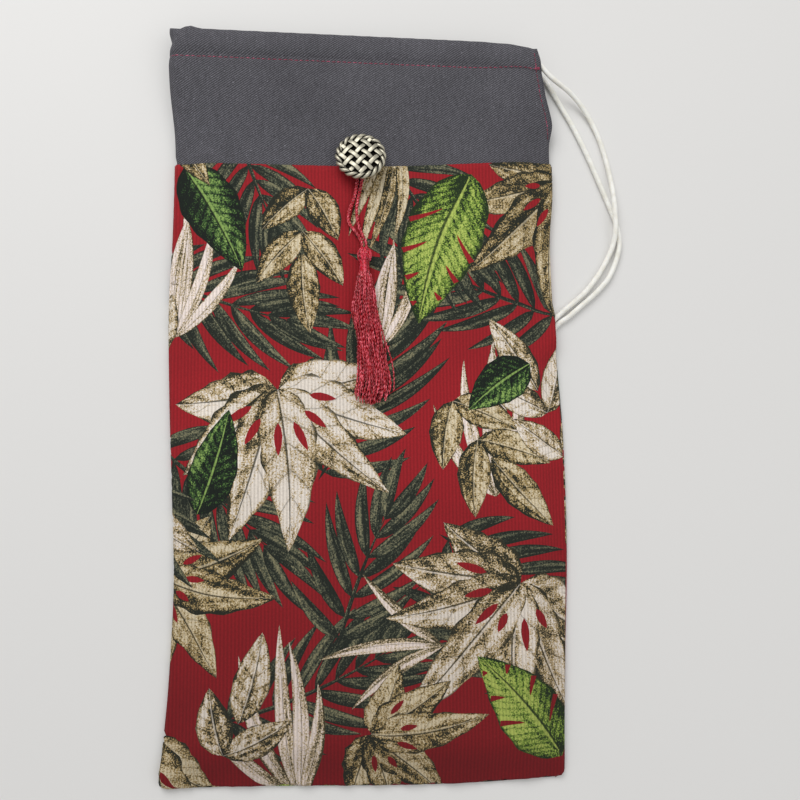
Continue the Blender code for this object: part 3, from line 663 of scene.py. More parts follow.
def cotton_finish():
    """Red cotton with the foliage printed in three flat inks, stippled into each other."""
    finish = Finish("printed_cotton_cloth", GROUND, 0.88, Specular_IOR_Level=0.32)
    times, plus, minus, ramp = finish.times, finish.plus, finish.minus, finish.ramp
    light, middle, dark, leaf = (finish.add("VertexColor", layer_name=name).outputs
                                 for name in LAYERS)
    parts = finish.add("SeparateColor", {"Color": leaf["Color"]}).outputs
    run, lift = parts["Red"], parts["Blue"]
    aside = finish.math("MULTIPLY_ADD", parts["Green"], 2.0, -1.0)
    off = finish.math("ABSOLUTE", aside)
    sunny = ramp(aside, -0.25, 0.25)
    quilt, seed = light["Alpha"], dark["Alpha"]

    # Cells between the side veins, swelling in the middle
    swept = minus(times(run, leaf["Alpha"]), times(off, minus(middle["Alpha"], 1.0)))
    between = finish.math("FRACT", swept)
    swelling = finish.math("SINE", times(between, math.pi))
    swelling = times(minus(swelling, 0.62), quilt)

    def on_leaf(across, along, apart):
        return finish.add("CombineXYZ", {"X": times(aside, across), "Y": times(run, along),
                                         "Z": times(seed, apart)}).outputs[0]

    folds = finish.noise(1.0, 2.0, on_leaf(1.5, 2.6, 40.0), 0.6)
    streaks = finish.noise(1.0, 2.0, on_leaf(3.6, 0.8, 70.0))

    # How light the leaf is at a place, then its three inks
    shade = plus(lift, times(swelling, 0.34))
    for value, weight in ((folds, 1.6), (streaks, 1.0), (sunny, 0.24)):
        shade = plus(shade, times(minus(value, 0.5), weight))
    for value, low, high, weight in ((off, 0.72, 1.0, -0.34), (run, 0.16, 0.0, -0.45),
                                     (run, 0.86, 1.0, -0.30)):
        shade = plus(shade, ramp(value, low, high, 0.0, weight))
    grains = minus(finish.noise(0.00060, 3.0, roughness=0.65), 0.5)
    level = plus(shade, times(grains, 2.5))
    printed = finish.blend(ramp(level, 0.36, 0.42), dark["Color"], middle["Color"])
    printed = finish.blend(ramp(level, 0.66, 0.74), printed, light["Color"])

    # The rib and its shadow, the side veins and a dark rim
    beside = plus(aside, 0.085)
    rib_shadow = times(ramp(beside, 0.05, 0.02), ramp(beside, -0.05, -0.02))
    rim = ramp(plus(off, times(grains, 0.25)), 0.93, 0.97)
    for share, ink in ((times(ramp(off, 0.055, 0.03), quilt), light),
                       (times(rib_shadow, 0.85), dark),
                       (times(times(ramp(between, 0.10, 0.04), quilt), 0.7), dark),
                       (times(rim, 0.8), dark)):
        printed = finish.blend(share, printed, ink["Color"])

    # Painted shade: the ground and the printed leaves grow darker towards the bottom of the pouch,
    # standing in for the light falling off there
    depth = ramp(finish.add("SeparateXYZ", {0: finish.place()}).outputs["Y"], -0.02, BOTTOM_Y)
    ground = finish.blend(depth, GROUND, GROUND_SHADED_LOW)
    printed = finish.blend(times(depth, 0.35), printed, rgb(120, 100, 70), "MULTIPLY")
    coloured = finish.blend(finish.math("GREATER_THAN", middle["Alpha"], 0.5), ground, printed)

    ribs = finish.waves(0.00155, wobble=0.35)
    fine = finish.noise(0.0009, 3.0)
    shade = ramp(finish.noise(0.028, 2.0), 0.35, 0.68, 0.93, 1.05)
    shade = times(shade, ramp(fine, 0.3, 0.7, 0.90, 1.10))
    finish.colour(coloured, times(shade, ramp(ribs, 0.0, 1.0, 0.84, 1.11)))
    finish.relief(plus(times(ribs, 0.7), times(fine, 0.6)), 0.55, 0.00012)
    return finish.material


def twill_finish():
    finish = Finish("grey_twill_cloth", TWILL_GREY, 0.9, Specular_IOR_Level=0.25)
    lines = finish.waves(0.00088, turn=math.radians(56), wobble=0.9)
    threads = finish.noise(0.00055, 3.0, roughness=0.65)
    long_threads = finish.noise(0.001, 2.0, finish.place(scale=(1.0, 0.12, 1.0)))
    specks = finish.ramp(finish.noise(0.0011, 2.0), 0.68, 0.76, 1.0, 1.7)
    shade = finish.ramp(lines, 0.0, 1.0, 0.48, 1.52)
    for share, spread in ((threads, 0.42), (long_threads, 0.12), (finish.noise(0.03), 0.08)):
        shade = finish.times(shade, finish.ramp(share, 0.3, 0.7, 1 - spread, 1 + spread))
    finish.colour(TWILL_GREY, finish.times(shade, specks))
    finish.relief(finish.plus(lines, threads), 0.6, 0.00014)
    return finish.material


def thread_finish(name, colour, glint_colour, roughness=0.40):
    finish = Finish(name, colour, roughness)
    # Painted highlights: dots of a lighter colour along the threads stand in for glints of light
    # on the glossy thread
    glints = finish.noise(0.0006, 2.0, finish.place(scale=(1.0, 0.35, 1.0)))
    strands = finish.noise(0.0007, 2.0, finish.place(scale=(1.0, 0.05, 1.0)))
    share = finish.times(finish.ramp(glints, 0.46, 0.60),
                         finish.ramp(strands, 0.42, 0.60, 0.15, 1.0))
    deep = finish.ramp(strands, 0.36, 0.54, 0.36, 1.0)
    finish.colour(finish.blend(share, colour, glint_colour), deep)
    finish.relief(finish.noise(0.0004, 2.0), 0.4, 0.00006)
    return finish.material


def cord_finish():
    finish = Finish("white_braided_cord", rgb(240, 239, 232), 0.7, Sheen_Weight=0.2,
                    Subsurface_Weight=0.35, Subsurface_Scale=0.0012,
                    Subsurface_Radius=(1.0, 0.95, 0.85))
    grime = finish.noise(0.004, 3.0)
    finish.colour(finish.blend(finish.ramp(grime, 0.40, 0.80), rgb(243, 242, 236),
                               rgb(226, 223, 212)))
    finish.relief(finish.noise(0.0005, 2.0), 0.35, 0.00006)
    return finish.material


def silver_finish():
    finish = Finish("worn_silver_painted_shade", rgb(205, 200, 188), 0.34, Metallic=1.0)
    # This layer holds painted light: painted highlights on the strap tops that face up, painted
    # shade in the hollows of the weave and the rope and on the plate under the weave
    painted_light = finish.add("VertexColor", layer_name="PaintedLight")
    scuffs = finish.noise(0.0006, 3.0)
    lift = finish.math("ADD", painted_light.outputs["Color"], finish.ramp(scuffs, 0.3, 0.7, -0.12, 0.10))
    # Painted shade runs to the near-black colour and painted highlight to the pale silver; the
    # scuffs add wear
    finish.colour(finish.blend(finish.ramp(lift, 0.10, 0.70), rgb(26, 24, 21),
                               rgb(176, 171, 154)))
    rough = finish.ramp(lift, 0.2, 0.8, 0.65, 0.46)
    finish.put(finish.shader.inputs["Roughness"], rough)
    finish.relief(scuffs, 0.25, 0.00005)
    return finish.material


# The printed cotton

def direction(angle):
    return np.array((math.cos(angle), math.sin(angle)))


# Half widths along a slot in a leaf, by share of its length
HOLE = ((0.0, 0.0), (0.15, 0.34), (0.4, 0.5), (0.65, 0.42), (0.85, 0.25), (1.0, 0.02))
SPLIT = ((0.0, 0.0), (0.2, 0.22), (0.45, 0.34), (0.7, 0.48), (1.0, 0.56))


class Print:
    """Foliage drawn on the flat cloth, in millimetres from its left fold and its bottom."""

    def __init__(self, seed):
        self.shapes = []
        self.chance = random.Random(seed)

    def blade(self, base, heading, length, width, bend, ink, full=0.9, lift=0.0, ripple=0.0):
        """A pointed leaf that curves to one side. lift makes its inks lighter or darker."""
        t = np.linspace(0.0, 1.0, LINE_STEPS + 1)
        ahead, aside = direction(heading), direction(heading + math.pi / 2)
        line = (np.array(base, float) + np.outer(t - 0.10 * abs(bend) * t * t, ahead) * length
                + np.outer(t * t, aside) * length * bend)
        along = np.gradient(line, axis=0)
        along /= np.linalg.norm(along, axis=1)[:, None]
        out = np.stack((-along[:, 1], along[:, 0]), axis=1)
        half = width / 2 * np.sin(math.pi * t ** full) ** BELLY
        sweep = 0.8 * ink["veins"] * width / 2 / length
        phase = self.chance.uniform(0.0, 6.28)
        edges = [half * (1 + ripple * np.sin(9 * math.pi * t + phase + turn) * (1 - t * 0.5))
                 for turn in (0.0, 1.9)]
        count = max(6, int(length / (2.6 if ripple else 3.8)))
        picked = np.unique(np.round(np.linspace(0, LINE_STEPS, count + 1)).astype(int))[1:-1]
        left = line[picked] + out[picked] * edges[0][picked, None]
        right = line[picked] - out[picked] * edges[1][picked, None]
        outline = np.concatenate((line[:1], right, line[-1:], left[::-1]))
        self.shapes.append((outline, (ink, line, out, np.maximum(half, 0.3), lift, sweep,
                                      self.chance.random()), line[picked]))

    def slit(self, base, heading, length, width, bend=0.0, shape=HOLE):
        """A slot of bare ground in a leaf, closed or open to its edge."""
        ahead, aside = direction(heading), direction(heading + math.pi / 2)
        low, high = [], []
        for t, wide in shape:
            middle = base + ahead * length * t + aside * bend * length * t * t
            low.append(middle - aside * width * wide)
            high.append(middle + aside * width * wide)
        outline = np.array(low + high[:0:-1])
        self.shapes.append((outline, None, outline[:0]))

    def stem(self, base, heading, length, bend, places):
        """Points along a curved stem, with the stem's heading at each."""
        ahead, aside = direction(heading), direction(heading + math.pi / 2)
        for t in places:
            at = np.array(base, float) + ahead * length * t + aside * length * bend * t * t
            yield t, at, heading + math.atan(2 * bend * t)

    def palm(self, base, heading, length, leaflets, reach, width, bend, ink):
        """A frond: a curved stem with narrow leaflets on both sides."""
        places = [(k + 0.5) / leaflets for k in range(leaflets)]
        for t, at, turn in self.stem(base, heading, length, bend, places):
            size = reach * (0.62 + 0.62 * math.sin(math.pi * (0.12 + 0.78 * t)))
            for side in (-1, 1):
                lean = math.radians(mix(66, 20, t)) * side + self.chance.uniform(-0.09, 0.09)
                self.blade(at, turn + lean, size * self.chance.uniform(0.88, 1.1), width,
                           -0.22 * side, ink, full=0.72, lift=self.chance.uniform(-0.10, 0.14))
        self.blade(base, heading, length * 1.05, 1.9, bend, ink, full=0.5, lift=-0.15)

    def hand(self, base, heading, size, fingers, spread, ink):
        """A broad leaf of long fingers that fan out from one point, with slots between them."""
        order = sorted(range(fingers), key=lambda k: -abs(k - (fingers - 1) / 2))
        for k in order:
            share = k / (fingers - 1) * 2 - 1
            length = size * (1.0 - 0.34 * abs(share) ** 1.5) * self.chance.uniform(0.88, 1.08)
            self.blade(base, heading + math.radians(spread) * share, length,
                       size * 0.34 * self.chance.uniform(0.85, 1.1),
                       self.chance.uniform(0.06, 0.22) * (1 if share > 0 else -1), ink,
                       full=0.62, lift=self.chance.uniform(-0.16, 0.16), ripple=0.09)
        for k in range(fingers - 1):
            turn = heading + math.radians(spread) * ((k + 0.5) / (fingers - 1) * 2 - 1)
            turn += self.chance.uniform(-0.06, 0.06)
            start = size * self.chance.uniform(0.17, 0.24)
            self.slit(np.array(base, float) + direction(turn) * start, turn,
                      size * self.chance.uniform(0.12, 0.2), size * 0.05)

    def spray(self, base, heading, length, pairs, leaf, width, bend, ink):
        """A twig with oval leaves in pairs and one at its end."""
        places = [(k + 0.5) / pairs for k in range(pairs)]
        for t, at, turn in self.stem(base, heading, length, bend, places):
            for side in (-1, 1):
                self.blade(at, turn + side * math.radians(46), leaf * (0.82 + 0.2 * t), width,
                           -0.14 * side, ink, full=0.8, lift=self.chance.uniform(-0.14, 0.12),
                           ripple=0.05)
        for _, tip, turn in self.stem(base, heading, length, bend, [1.0]):
            self.blade(tip, turn, leaf * 1.15, width * 1.05, 0.08, ink, full=0.8, ripple=0.05)

    def broad(self, base, heading, length, width, bend, ink, slits=0):
        """One wide oval leaf, split from its edge towards its rib here and there."""
        self.blade(base, heading, length, width, bend, ink, full=0.72, ripple=0.04)

        def half_width(t):
            return width / 2 * math.sin(math.pi * t ** 0.72) ** BELLY

        places = [0.20 + 0.62 * k / max(slits - 1, 1) for k in range(slits)]
        for k, (t, at, turn) in enumerate(self.stem(base, heading, length, bend, places)):
            side = 1 if k % 2 else -1
            turn += side * math.radians(46)
            half = half_width(t)
            reach = 1.27 * half_width(min(t + 0.7 * half / length, 0.99)) - 0.45 * half
            if reach > 1.5:
                self.slit(at + direction(turn) * half * 0.45, turn, reach, 2.2, 0.08 * side,
                          SPLIT)

    def tuft(self, base, turn, blades, width, ink, lift=0.0):
        """Strap leaves that rise from one point: each by its heading, length and bend."""
        for heading, length, bend in blades:
            self.blade(base, turn + math.radians(heading), length, width, bend, ink, full=0.85,
                       lift=lift + self.chance.uniform(-0.1, 0.1))


# Inks from light to dark, the number of side veins, how strongly they show, and the lightness
CREAM = {"inks": (rgb(228, 218, 206), rgb(184, 160, 114), rgb(42, 42, 30)),
         "veins": 6, "quilt": 0.62, "lift": 0.66}
PALE = {"inks": (rgb(232, 218, 210), rgb(196, 176, 140), rgb(66, 60, 40)),
        "veins": 1, "quilt": 0.0, "lift": 0.74}
TAN = {"inks": (rgb(214, 200, 170), rgb(166, 142, 92), rgb(34, 36, 26)),
       "veins": 7, "quilt": 0.55, "lift": 0.52}
OLIVE = {"inks": (rgb(130, 126, 97), rgb(77, 81, 65), rgb(28, 34, 27)),
         "veins": 1, "quilt": 0.0, "lift": 0.36}
GREEN = {"inks": (rgb(176, 192, 96), rgb(112, 142, 54), rgb(26, 42, 18)),
         "veins": 17, "quilt": 0.8, "lift": 0.58}
DEEP = {"inks": (rgb(136, 166, 88), rgb(56, 88, 42), rgb(10, 20, 12)),
        "veins": 11, "quilt": 0.95, "lift": 0.38}


# The plants of one repeat of the print: place in millimetres, heading in degrees, then the
# values that its kind takes
PALMS = (
    (64, 132, 58, 80, 9, 40, 6.4, 0.10, OLIVE),
    (24, 30, 14, 82, 9, 38, 6.0, 0.16, OLIVE),
    (176, 206, 166, 74, 9, 38, 6.2, -0.15, OLIVE),
    (116, 108, -30, 74, 8, 36, 6.0, -0.10, OLIVE),
    (-14, 226, -24, 74, 9, 36, 6.2, 0.10, OLIVE),
    (92, 286, -62, 66, 8, 34, 6.0, 0.12, OLIVE),
    (-8, 150, -38, 70, 8, 36, 6.2, -0.10, OLIVE),
    (182, 44, 150, 70, 8, 34, 6.0, 0.10, OLIVE),
    (72, 60, 78, 62, 7, 34, 6.2, -0.16, OLIVE),
    (30, 292, -78, 50, 7, 30, 5.8, 0.14, OLIVE),
)
TUFTS = (
    (142, 124, 0, ((118, 62, -0.30), (98, 74, -0.18), (80, 70, 0.16), (62, 58, 0.28),
                   (142, 48, -0.34)), 6.6, PALE),
    (58, -6, 0, ((150, 56, -0.28), (126, 70, -0.22), (104, 78, -0.10), (84, 70, 0.20),
                 (66, 52, 0.30)), 7.0, PALE),
    (4, 196, 0, ((74, 60, 0.24), (56, 52, 0.30), (96, 58, -0.2), (34, 44, 0.3)), 6.4, PALE),
    (92, 190, 0, ((48, 44, 0.30), (70, 52, 0.2), (92, 50, -0.2)), 5.6, PALE, -0.12),
    (118, 60, 0, ((196, 46, 0.30), (172, 54, 0.22), (150, 48, -0.2)), 5.8, PALE, -0.1),
    (100, 288, 0, ((-128, 50, 0.24), (-112, 58, 0.12), (-94, 54, -0.14), (-76, 46, -0.24)),
     6.0, TAN, 0.12),
)
HANDS = (
    (48, 172, -78, 74, 7, 82, CREAM),
    (152, 86, -128, 74, 7, 84, CREAM),
    (178, 266, -118, 60, 6, 70, TAN),
    (-6, 92, -38, 58, 6, 74, TAN),
    (88, 24, -20, 52, 6, 80, TAN),
)
SPRAYS = (
    (120, 176, -66, 40, 2, 36, 15, 0.12, TAN),
    (62, 274, -100, 40, 2, 32, 14, 0.10, TAN),
    (178, 132, 104, 42, 2, 34, 14, 0.12, CREAM),
    (20, 2, 60, 30, 1, 34, 15, 0.12, CREAM),
)
BROADS = (
    (134, 270, -116, 72, 36, 0.12, GREEN, 7),
    (6, 274, -54, 56, 25, -0.12, DEEP),
    (172, 10, 124, 60, 28, 0.12, GREEN, 6),
    (12, 118, 66, 48, 20, 0.10, DEEP),
    (160, 184, -152, 36, 20, 0.14, DEEP),
)


def draw_front(art, x0=0.0, y0=0.0):
    """One repeat of the foliage, about as wide as the pouch and as tall as its printed part."""
    for draw, plants in ((art.palm, PALMS), (art.tuft, TUFTS), (art.hand, HANDS),
                         (art.spray, SPRAYS), (art.broad, BROADS)):
        for x, y, heading, *rest in plants:
            draw((x0 + x, y0 + y), math.radians(heading), *rest)


def flat_point(flat_x, flat_y, lift=0.0):
    """Where a point of the flat print lies on the pouch. Metres from the fold and bottom."""
    radius = BOTTOM_THICK / 2
    turn = min(flat_y / radius, math.pi / 2)
    y = BOTTOM_Y + radius * (1 - math.cos(turn)) + max(flat_y - radius * math.pi / 2, 0.0)
    inset = radius * (1 - math.sin(turn))
    share = flat_x / BAG_WIDTH
    face = 1 if share > 0 else 0
    groove = GROOVE * smooth((abs(share) - 1) * BAG_WIDTH / GROOVE_WIDTH + 1)
    point = around(share, y, inset + groove - lift)
    upward = 1 if face else -1
    rise = undulate(point.x, point.y, face)
    rise += TUCK_GATHERS * pucker(point.x, SEAM_Y - y - TUCK_LINE, 0.0068, 0.004, 2.0 + face)
    rise -= TUCK_CREASE * bump(SEAM_Y - y - TUCK_LINE, 0.0006)
    near_bottom = 1 - smooth((y - BOTTOM_Y) / BOTTOM_WAVES_REACH)
    wave = math.sin(point.x / 0.0031 + 2.2 * math.sin(point.x / 0.017))
    wave += 0.45 * math.sin(point.x / 0.0013 + 3.1 * math.sin(point.x / 0.011))
    rise += BOTTOM_WAVES[face] * near_bottom * wave
    point.z += upward * rise * smooth(abs(share) / 0.03) * (1 - smooth((abs(share) - 0.96) / 0.04))
    corner = bump(math.hypot(point.x + 0.0865, (y - BOTTOM_Y - 0.0055) * 0.8), CORNER_REACH)
    point.z += CORNER_LIFT * corner * face
    point.x -= 0.0009 * corner
    point.y -= 0.0004 * corner
    point.z = max(point.z, FLOOR_PLAY)
    return point


def make_print():
    """The printed cloth: both faces in one sheet, with each leaf's inks and lines in its mesh."""
    width, height = BAG_WIDTH / MM, (SEAM_Y - BOTTOM_Y + BOTTOM_THICK * (math.pi / 4 - 0.5)) / MM
    art = Print(PRINT_SEED)
    for x0, y0 in ((0.0, 0.0), (-width - 8, 46), (-width - 8, 46 - 290)):
        draw_front(art, x0, y0)
    coords, faces, kept = [], [], []
    across, up = int(width / CELL), int(height / CELL)

    def add(points):
        coords.extend(Vector((float(x), float(y))) for x, y in points)

    def put(outline):
        faces.append(list(range(len(coords), len(coords) + len(outline))))
        add(outline)

    def edge(start, end, count):
        return np.linspace(start, end, count + 1)[:-1]

    put([(x, 0.0) for x in edge(-width, width, 2 * across)]
        + [(width, y) for y in edge(0.0, height, up)]
        + [(x, height) for x in edge(width, -width, 2 * across)]
        + [(-width, y) for y in edge(height, 0.0, up)])
    for outline, leaf, inner in art.shapes:
        low, high = outline.min(axis=0), outline.max(axis=0)
        if high[0] < -width or low[0] > width or high[1] < 0 or low[1] > height:
            continue
        kept.append((leaf, inner))
        put(outline)
    for _, inner in kept:
        add((x, y) for x, y in inner if abs(x) < width and 0 < y < height)
    for i in range(1, 2 * across):
        add((-width + i * width / across + (0.2 * CELL if j % 2 else 0.0), j * height / up)
            for j in range(1, up))
    for x in EDGE_COLUMNS:
        for y in np.linspace(0.0, height, 2 * up)[1:-1]:
            add(((width - x, y), (x - width, y)))
    for y in BOTTOM_ROWS:
        add((x, y) for x in edge(-width, width, 2 * across)[1:])
    cut = geometry.delaunay_2d_cdt(coords, [], faces, 1, SNAP, True)
    points, _, triangles, _, _, origins = cut
    inside = [(tuple(t), max(o) - 1) for t, o in zip(triangles, origins) if 0 in o]
    cells = np.array([t for t, _ in inside])
    owners = np.array([o for _, o in inside])
    corners = np.array([(p.x, p.y) for p in points])[cells]
    layers = {name: np.zeros((len(cells), 3, 4)) for name in LAYERS}
    for k, (leaf, _) in enumerate(kept):
        mine = owners == k
        if leaf and mine.any():
            for name, values in leaf_values(leaf, corners[mine]).items():
                layers[name][mine] = values
    shell = bmesh.new()
    stores = {name: shell.loops.layers.float_color.new(name) for name in layers}
    placed = {}
    for number, cell in enumerate(cells.tolist()):
        for v in cell:
            if v not in placed:
                placed[v] = shell.verts.new(flat_point(points[v].x * MM, points[v].y * MM))
        try:
            face = shell.faces.new([placed[v] for v in cell])
        except ValueError:
            continue
        for name, store in stores.items():
            for loop, value in zip(face.loops, layers[name][number].tolist()):
                loop[store] = value
    bmesh.ops.delete(shell, geom=[v for v in shell.verts if not v.link_faces], context="VERTS")
    return finished("print_cotton", shell, cotton_finish(), 80, outward=False)


def leaf_values(leaf, corners):
    """What the material needs at the corners of triangles, from the leaf they belong to."""
    ink, line, out, half, lift, sweep, seed = leaf
    where = corners.reshape(-1, 2)
    apart = where[:, None, :] - line[None]
    near = np.argmin((apart ** 2).sum(axis=2), axis=1)
    off = (apart[np.arange(len(where)), near] * out[near]).sum(axis=1) / half[near]
    count = len(where)
    shape = corners.shape[:2] + (4,)

    def filled(colour, last):
        return np.tile(np.array((*colour, last)), (count, 1)).reshape(shape)

    lines = np.stack((near / (len(line) - 1), np.clip(off, -1.0, 1.0) / 2 + 0.5,
                      np.full(count, ink["lift"] + lift), np.full(count, float(ink["veins"]))),
                     axis=1)
    light, middle, dark = ink["inks"]
    return {"Light": filled(light, ink["quilt"]), "Middle": filled(middle, 1.0 + sweep),
            "Dark": filled(dark, seed), "Leaf": lines.reshape(shape)}


# The band

def fullness(t):
    return max(1 - abs(2 * t - 1) ** CASING_SWELL, 0.0) ** CASING_FLATNESS


def casing_seam(x):
    """Height of the casing's line of stitches, which runs straight to the slit."""
    by_slit, by_fold = smooth((x - 0.052) / 0.030), 1 - smooth((x + HALF_WIDTH) / 0.007)
    return CASING_SEAM_Y + corner_drop(x) + 0.0015 * by_slit + 0.0010 * by_fold


def outer_inset(y):
    """Depth of the band's outer face under the pouch's skin: less where the casing swells."""
    t = (y - STITCH_Y) / CASING_DEPTH
    return UNDERLAP * (1 - fullness(t)) if 0 < t < 1 else UNDERLAP


def fold_dent(x, y):
    """How far the casing's left fold is dented inwards, near the mouth."""
    return (NUB * bump(y - TOP_Y + 0.0055, 0.0035)
            * (1 - smooth((x + HALF_WIDTH + 0.003) / 0.010)))


def band_point(share, y, inset, face_in=False):
    """Where a point of the band lies, with its small creases."""
    point = around(share, y, inset)
    face = 1 if share > 0 else 0
    upward = 1 if face else -1
    edge = smooth(abs(share) / 0.03) * (1 - smooth((abs(share) - 0.97) / 0.03))
    rise = 0.6 * undulate(point.x, point.y, face) * edge * (1 - smooth((y - STITCH_Y) / 0.004))
    gathers = pucker(point.x, y - STITCH_Y + 0.0035, 0.0062, 0.0045, 9.0 + face)
    rise += CASING_GATHERS * gathers * edge
    rise += MOUTH_GATHERS * pucker(point.x, y - TOP_Y, 0.0090, 0.006, 13.0 + face) * edge
    rise -= STITCH_CREASE * bump(y - casing_seam(point.x), 0.0005)
    if not face_in and y > SLIT_Y:
        off = right_side(y) - point.x
        rise += HEM_RISE * smooth((SLIT_HEM - off) / HEM_RUN)
        rise -= HEM_RISE * bump(off - SLIT_HEM, 0.0004)
    point.z += upward * rise
    by_top = smooth((y - TOP_Y + MOUTH_REACH) / MOUTH_REACH)
    point.y += by_top * (0.0011 * bump(point.x + 0.0795, 0.0032)
                         - 0.0007 * bump(point.x + 0.0840, 0.0018)
                         + NUB * bump(point.x + HALF_WIDTH + 0.0022, 0.0017))
    point.x -= 0.0004 * by_top * bump(point.x + HALF_WIDTH + 0.003, 0.003)
    flush = smooth((y - SEAM_Y - 0.0008) / 0.004) * (1 - smooth((y - STITCH_Y + 0.004) / 0.006))
    point.x -= 0.0008 * flush * (1 - smooth((point.x + HALF_WIDTH) / 0.006))
    point.x += fold_dent(point.x, y)
    point.x -= 0.0014 * by_top * smooth((point.x - 0.9 * HALF_WIDTH) / 0.006)
    point.z = max(point.z, FLOOR_PLAY)
    return point


def make_band():
    """The plain band: both faces, the casing folded over at the mouth, and the open slit."""
    plain = ends(TUCK_Y, STITCH_Y - 0.004, 22) + ends(STITCH_Y - 0.0032, STITCH_Y, 8)
    inner = UNDERLAP + 2 * TWILL
    rows = [(y, UNDERLAP) for y in plain]
    rows += [(mix(STITCH_Y, TOP_Y, t), UNDERLAP - UNDERLAP * fullness(t)) for t in SWELL_ROWS]
    rows += [(TOP_Y, UNDERLAP + share * TWILL) for share in (0.3, 1.0, 1.7)]
    rows += [(mix(STITCH_Y, TOP_Y, t), inner + (TUNNEL - UNDERLAP) * fullness(t))
             for t in reversed(SWELL_ROWS)]
    rows += [(STITCH_Y, inner), (STITCH_Y - 0.0015, inner)]
    turned = len(plain) + len(SWELL_ROWS) + 1
    shell = bmesh.new()
    shares = [k / BAND_COLUMNS for k in range(-BAND_COLUMNS, BAND_COLUMNS + 1)]
    grid = [[shell.verts.new(band_point(s, y, inset, k > turned)) for s in shares]
            for k, (y, inset) in enumerate(rows)]
    for low, high in zip(grid, grid[1:]):
        for k in range(len(shares) - 1):
            shell.faces.new((low[k], low[k + 1], high[k + 1], high[k]))
    below_slit = {row[0]: row[-1] for row, (y, inset) in zip(grid, rows)
                  if y < SLIT_Y and inset == UNDERLAP}
    bmesh.ops.weld_verts(shell, targetmap=below_slit)
    specks = [f for f in shell.faces if f.calc_area() < 1e-14]
    bmesh.ops.delete(shell, geom=specks, context="FACES")
    return finished("twill_band", shell, twill_finish(), 80)


def thicken(piece, thickness):
    modifier = piece.modifiers.new("Thickness", "SOLIDIFY")
    modifier.thickness = thickness
    modifier.offset = -1.0
    modifier.use_rim = True


# Stitches

def add_stitch(shell, start, end, normal):
    """One stitch of thread, with both ends going down into the cloth."""
    side = normal.cross((end - start).normalized())
    rings = []
    for share, rise, girth in STITCH_SHAPE:
        centre = start + (end - start) * share + normal * (rise * STITCH_WIDTH)
        half = 0.5 * girth * STITCH_WIDTH
        rings.append(oval(centre, half * side, half * normal, 6))
    add_rings(shell, rings)


def make_stitches(finish):
    """Rows of stitches along the casing and both sides of the slit, with a back-tack."""
    shell = bmesh.new()
    reach = STITCH_PITCH - STITCH_GAP
    chance = random.Random(7)

    def row(places):
        pairs = [[band_point(share, y, outer_inset(y)) for share, y in pair] for pair in places]
        for a, b in pairs:
            push = chance.uniform(-0.00008, 0.00008)
            down = (b - a).normalized().cross(UP)
            a.z, b.z = max(a.z, STITCH_LOW), max(b.z, STITCH_LOW)
            normal = UP if a.z > LOFT / 2 else -UP
            add_stitch(shell, a + down * push, b + down * push, normal)

    for sign in (1, -1):
        places = []
        for k in range(int(BAG_WIDTH / STITCH_PITCH)):
            y = casing_seam(-HALF_WIDTH + k * STITCH_PITCH)
            places.append([(sign * (k * STITCH_PITCH + d) / BAG_WIDTH, y)
                           for d in (chance.uniform(0.0, 0.0003), reach)])
        row(places)
        row([[(sign * (1 - d / BAG_WIDTH), casing_seam(HALF_WIDTH) + 0.0003 * k)
              for d in (0.0030, 0.0006)] for k in (-1, 0, 1)])
        run, places = SLIT_Y + 0.002, []
        while run < TOP_Y - 0.0035:
            places.append([(sign * (1 - SLIT_HEM / BAG_WIDTH), y) for y in (run, run + reach)])
            run += STITCH_PITCH
        row(places)
    return finished("seam_stitches", shell, finish, 50)


# The drawstring

def braid(angle, walked):
    """Radius of a braided cord, with its small diamonds of crossing threads."""
    lean = FULL_TURN * walked / BRAID_PITCH
    cross = math.cos(4 * angle + 2 * lean) * math.cos(4 * angle - 2 * lean)
    return CORD / 2 * (0.950 + 0.060 * cross)


def casing_run():
    """The cord's way through the casing: along the front, round the left fold, back again."""
    left, radius = sides(STITCH_Y + CASING_DEPTH / 2)[:2]
    high, low = mix(STITCH_Y, TOP_Y, CORD_HEIGHT), mix(STITCH_Y, TOP_Y, 1 - CORD_HEIGHT)
    exit_y = FRONT_ROUTE[0][1] + TOP_DROP * 0.9
    count = 13
    front, turn, rear = [Vector(FRONT_ROUTE[0])], [], []
    for x in steps(FRONT_ROUTE[0][0] - CORD, left, count):
        y = mix(high, exit_y, smooth((x - 0.2 * HALF_WIDTH) / (0.8 * HALF_WIDTH)))
        front.append(skin_point(x, y, CORD_INSET, 1))
    for k in range(6):
        angle = math.pi / 2 + math.pi * k / 5
        play = CORD_PLAY / 2 * math.sin(math.pi * k / 5)
        turn.append(side_point(left, radius, mix(high, low, k / 5), CORD_INSET + play, angle))
    for x in steps(left, REAR_ROUTE[0][0] - CORD, count)[1:]:
        y = mix(low, exit_y, smooth((x - 0.2 * HALF_WIDTH) / (0.8 * HALF_WIDTH)))
        rear.append(skin_point(x, y, CORD_INSET, 0))
    for point in front + turn + rear:
        point.x += fold_dent(point.x, point.y)
    return front + turn + rear + [Vector(REAR_ROUTE[0])]


def make_cords(finish):
    """The two free tails and the run inside the casing."""
    for name, route in (("cord_front_tail", FRONT_ROUTE), ("cord_rear_tail", REAR_ROUTE)):
        points = curve_through(route, 0.0005)
        piece = from_rings(name, [(tube_rings(points, 0, 16, shape=braid), False)], finish)
        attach(piece, "pouch")
        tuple(route[0])
        round(path_length(points), 3)
        [tuple(p) for p in points[::6] + [points[-1]]]
    points = curve_through(casing_run(), 0.0011)
    run = from_rings("cord_in_casing", [(tube_rings(points, CORD / 2 * 0.97, 10), False)], finish)
    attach(run, "pouch")
    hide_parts("drawstring")


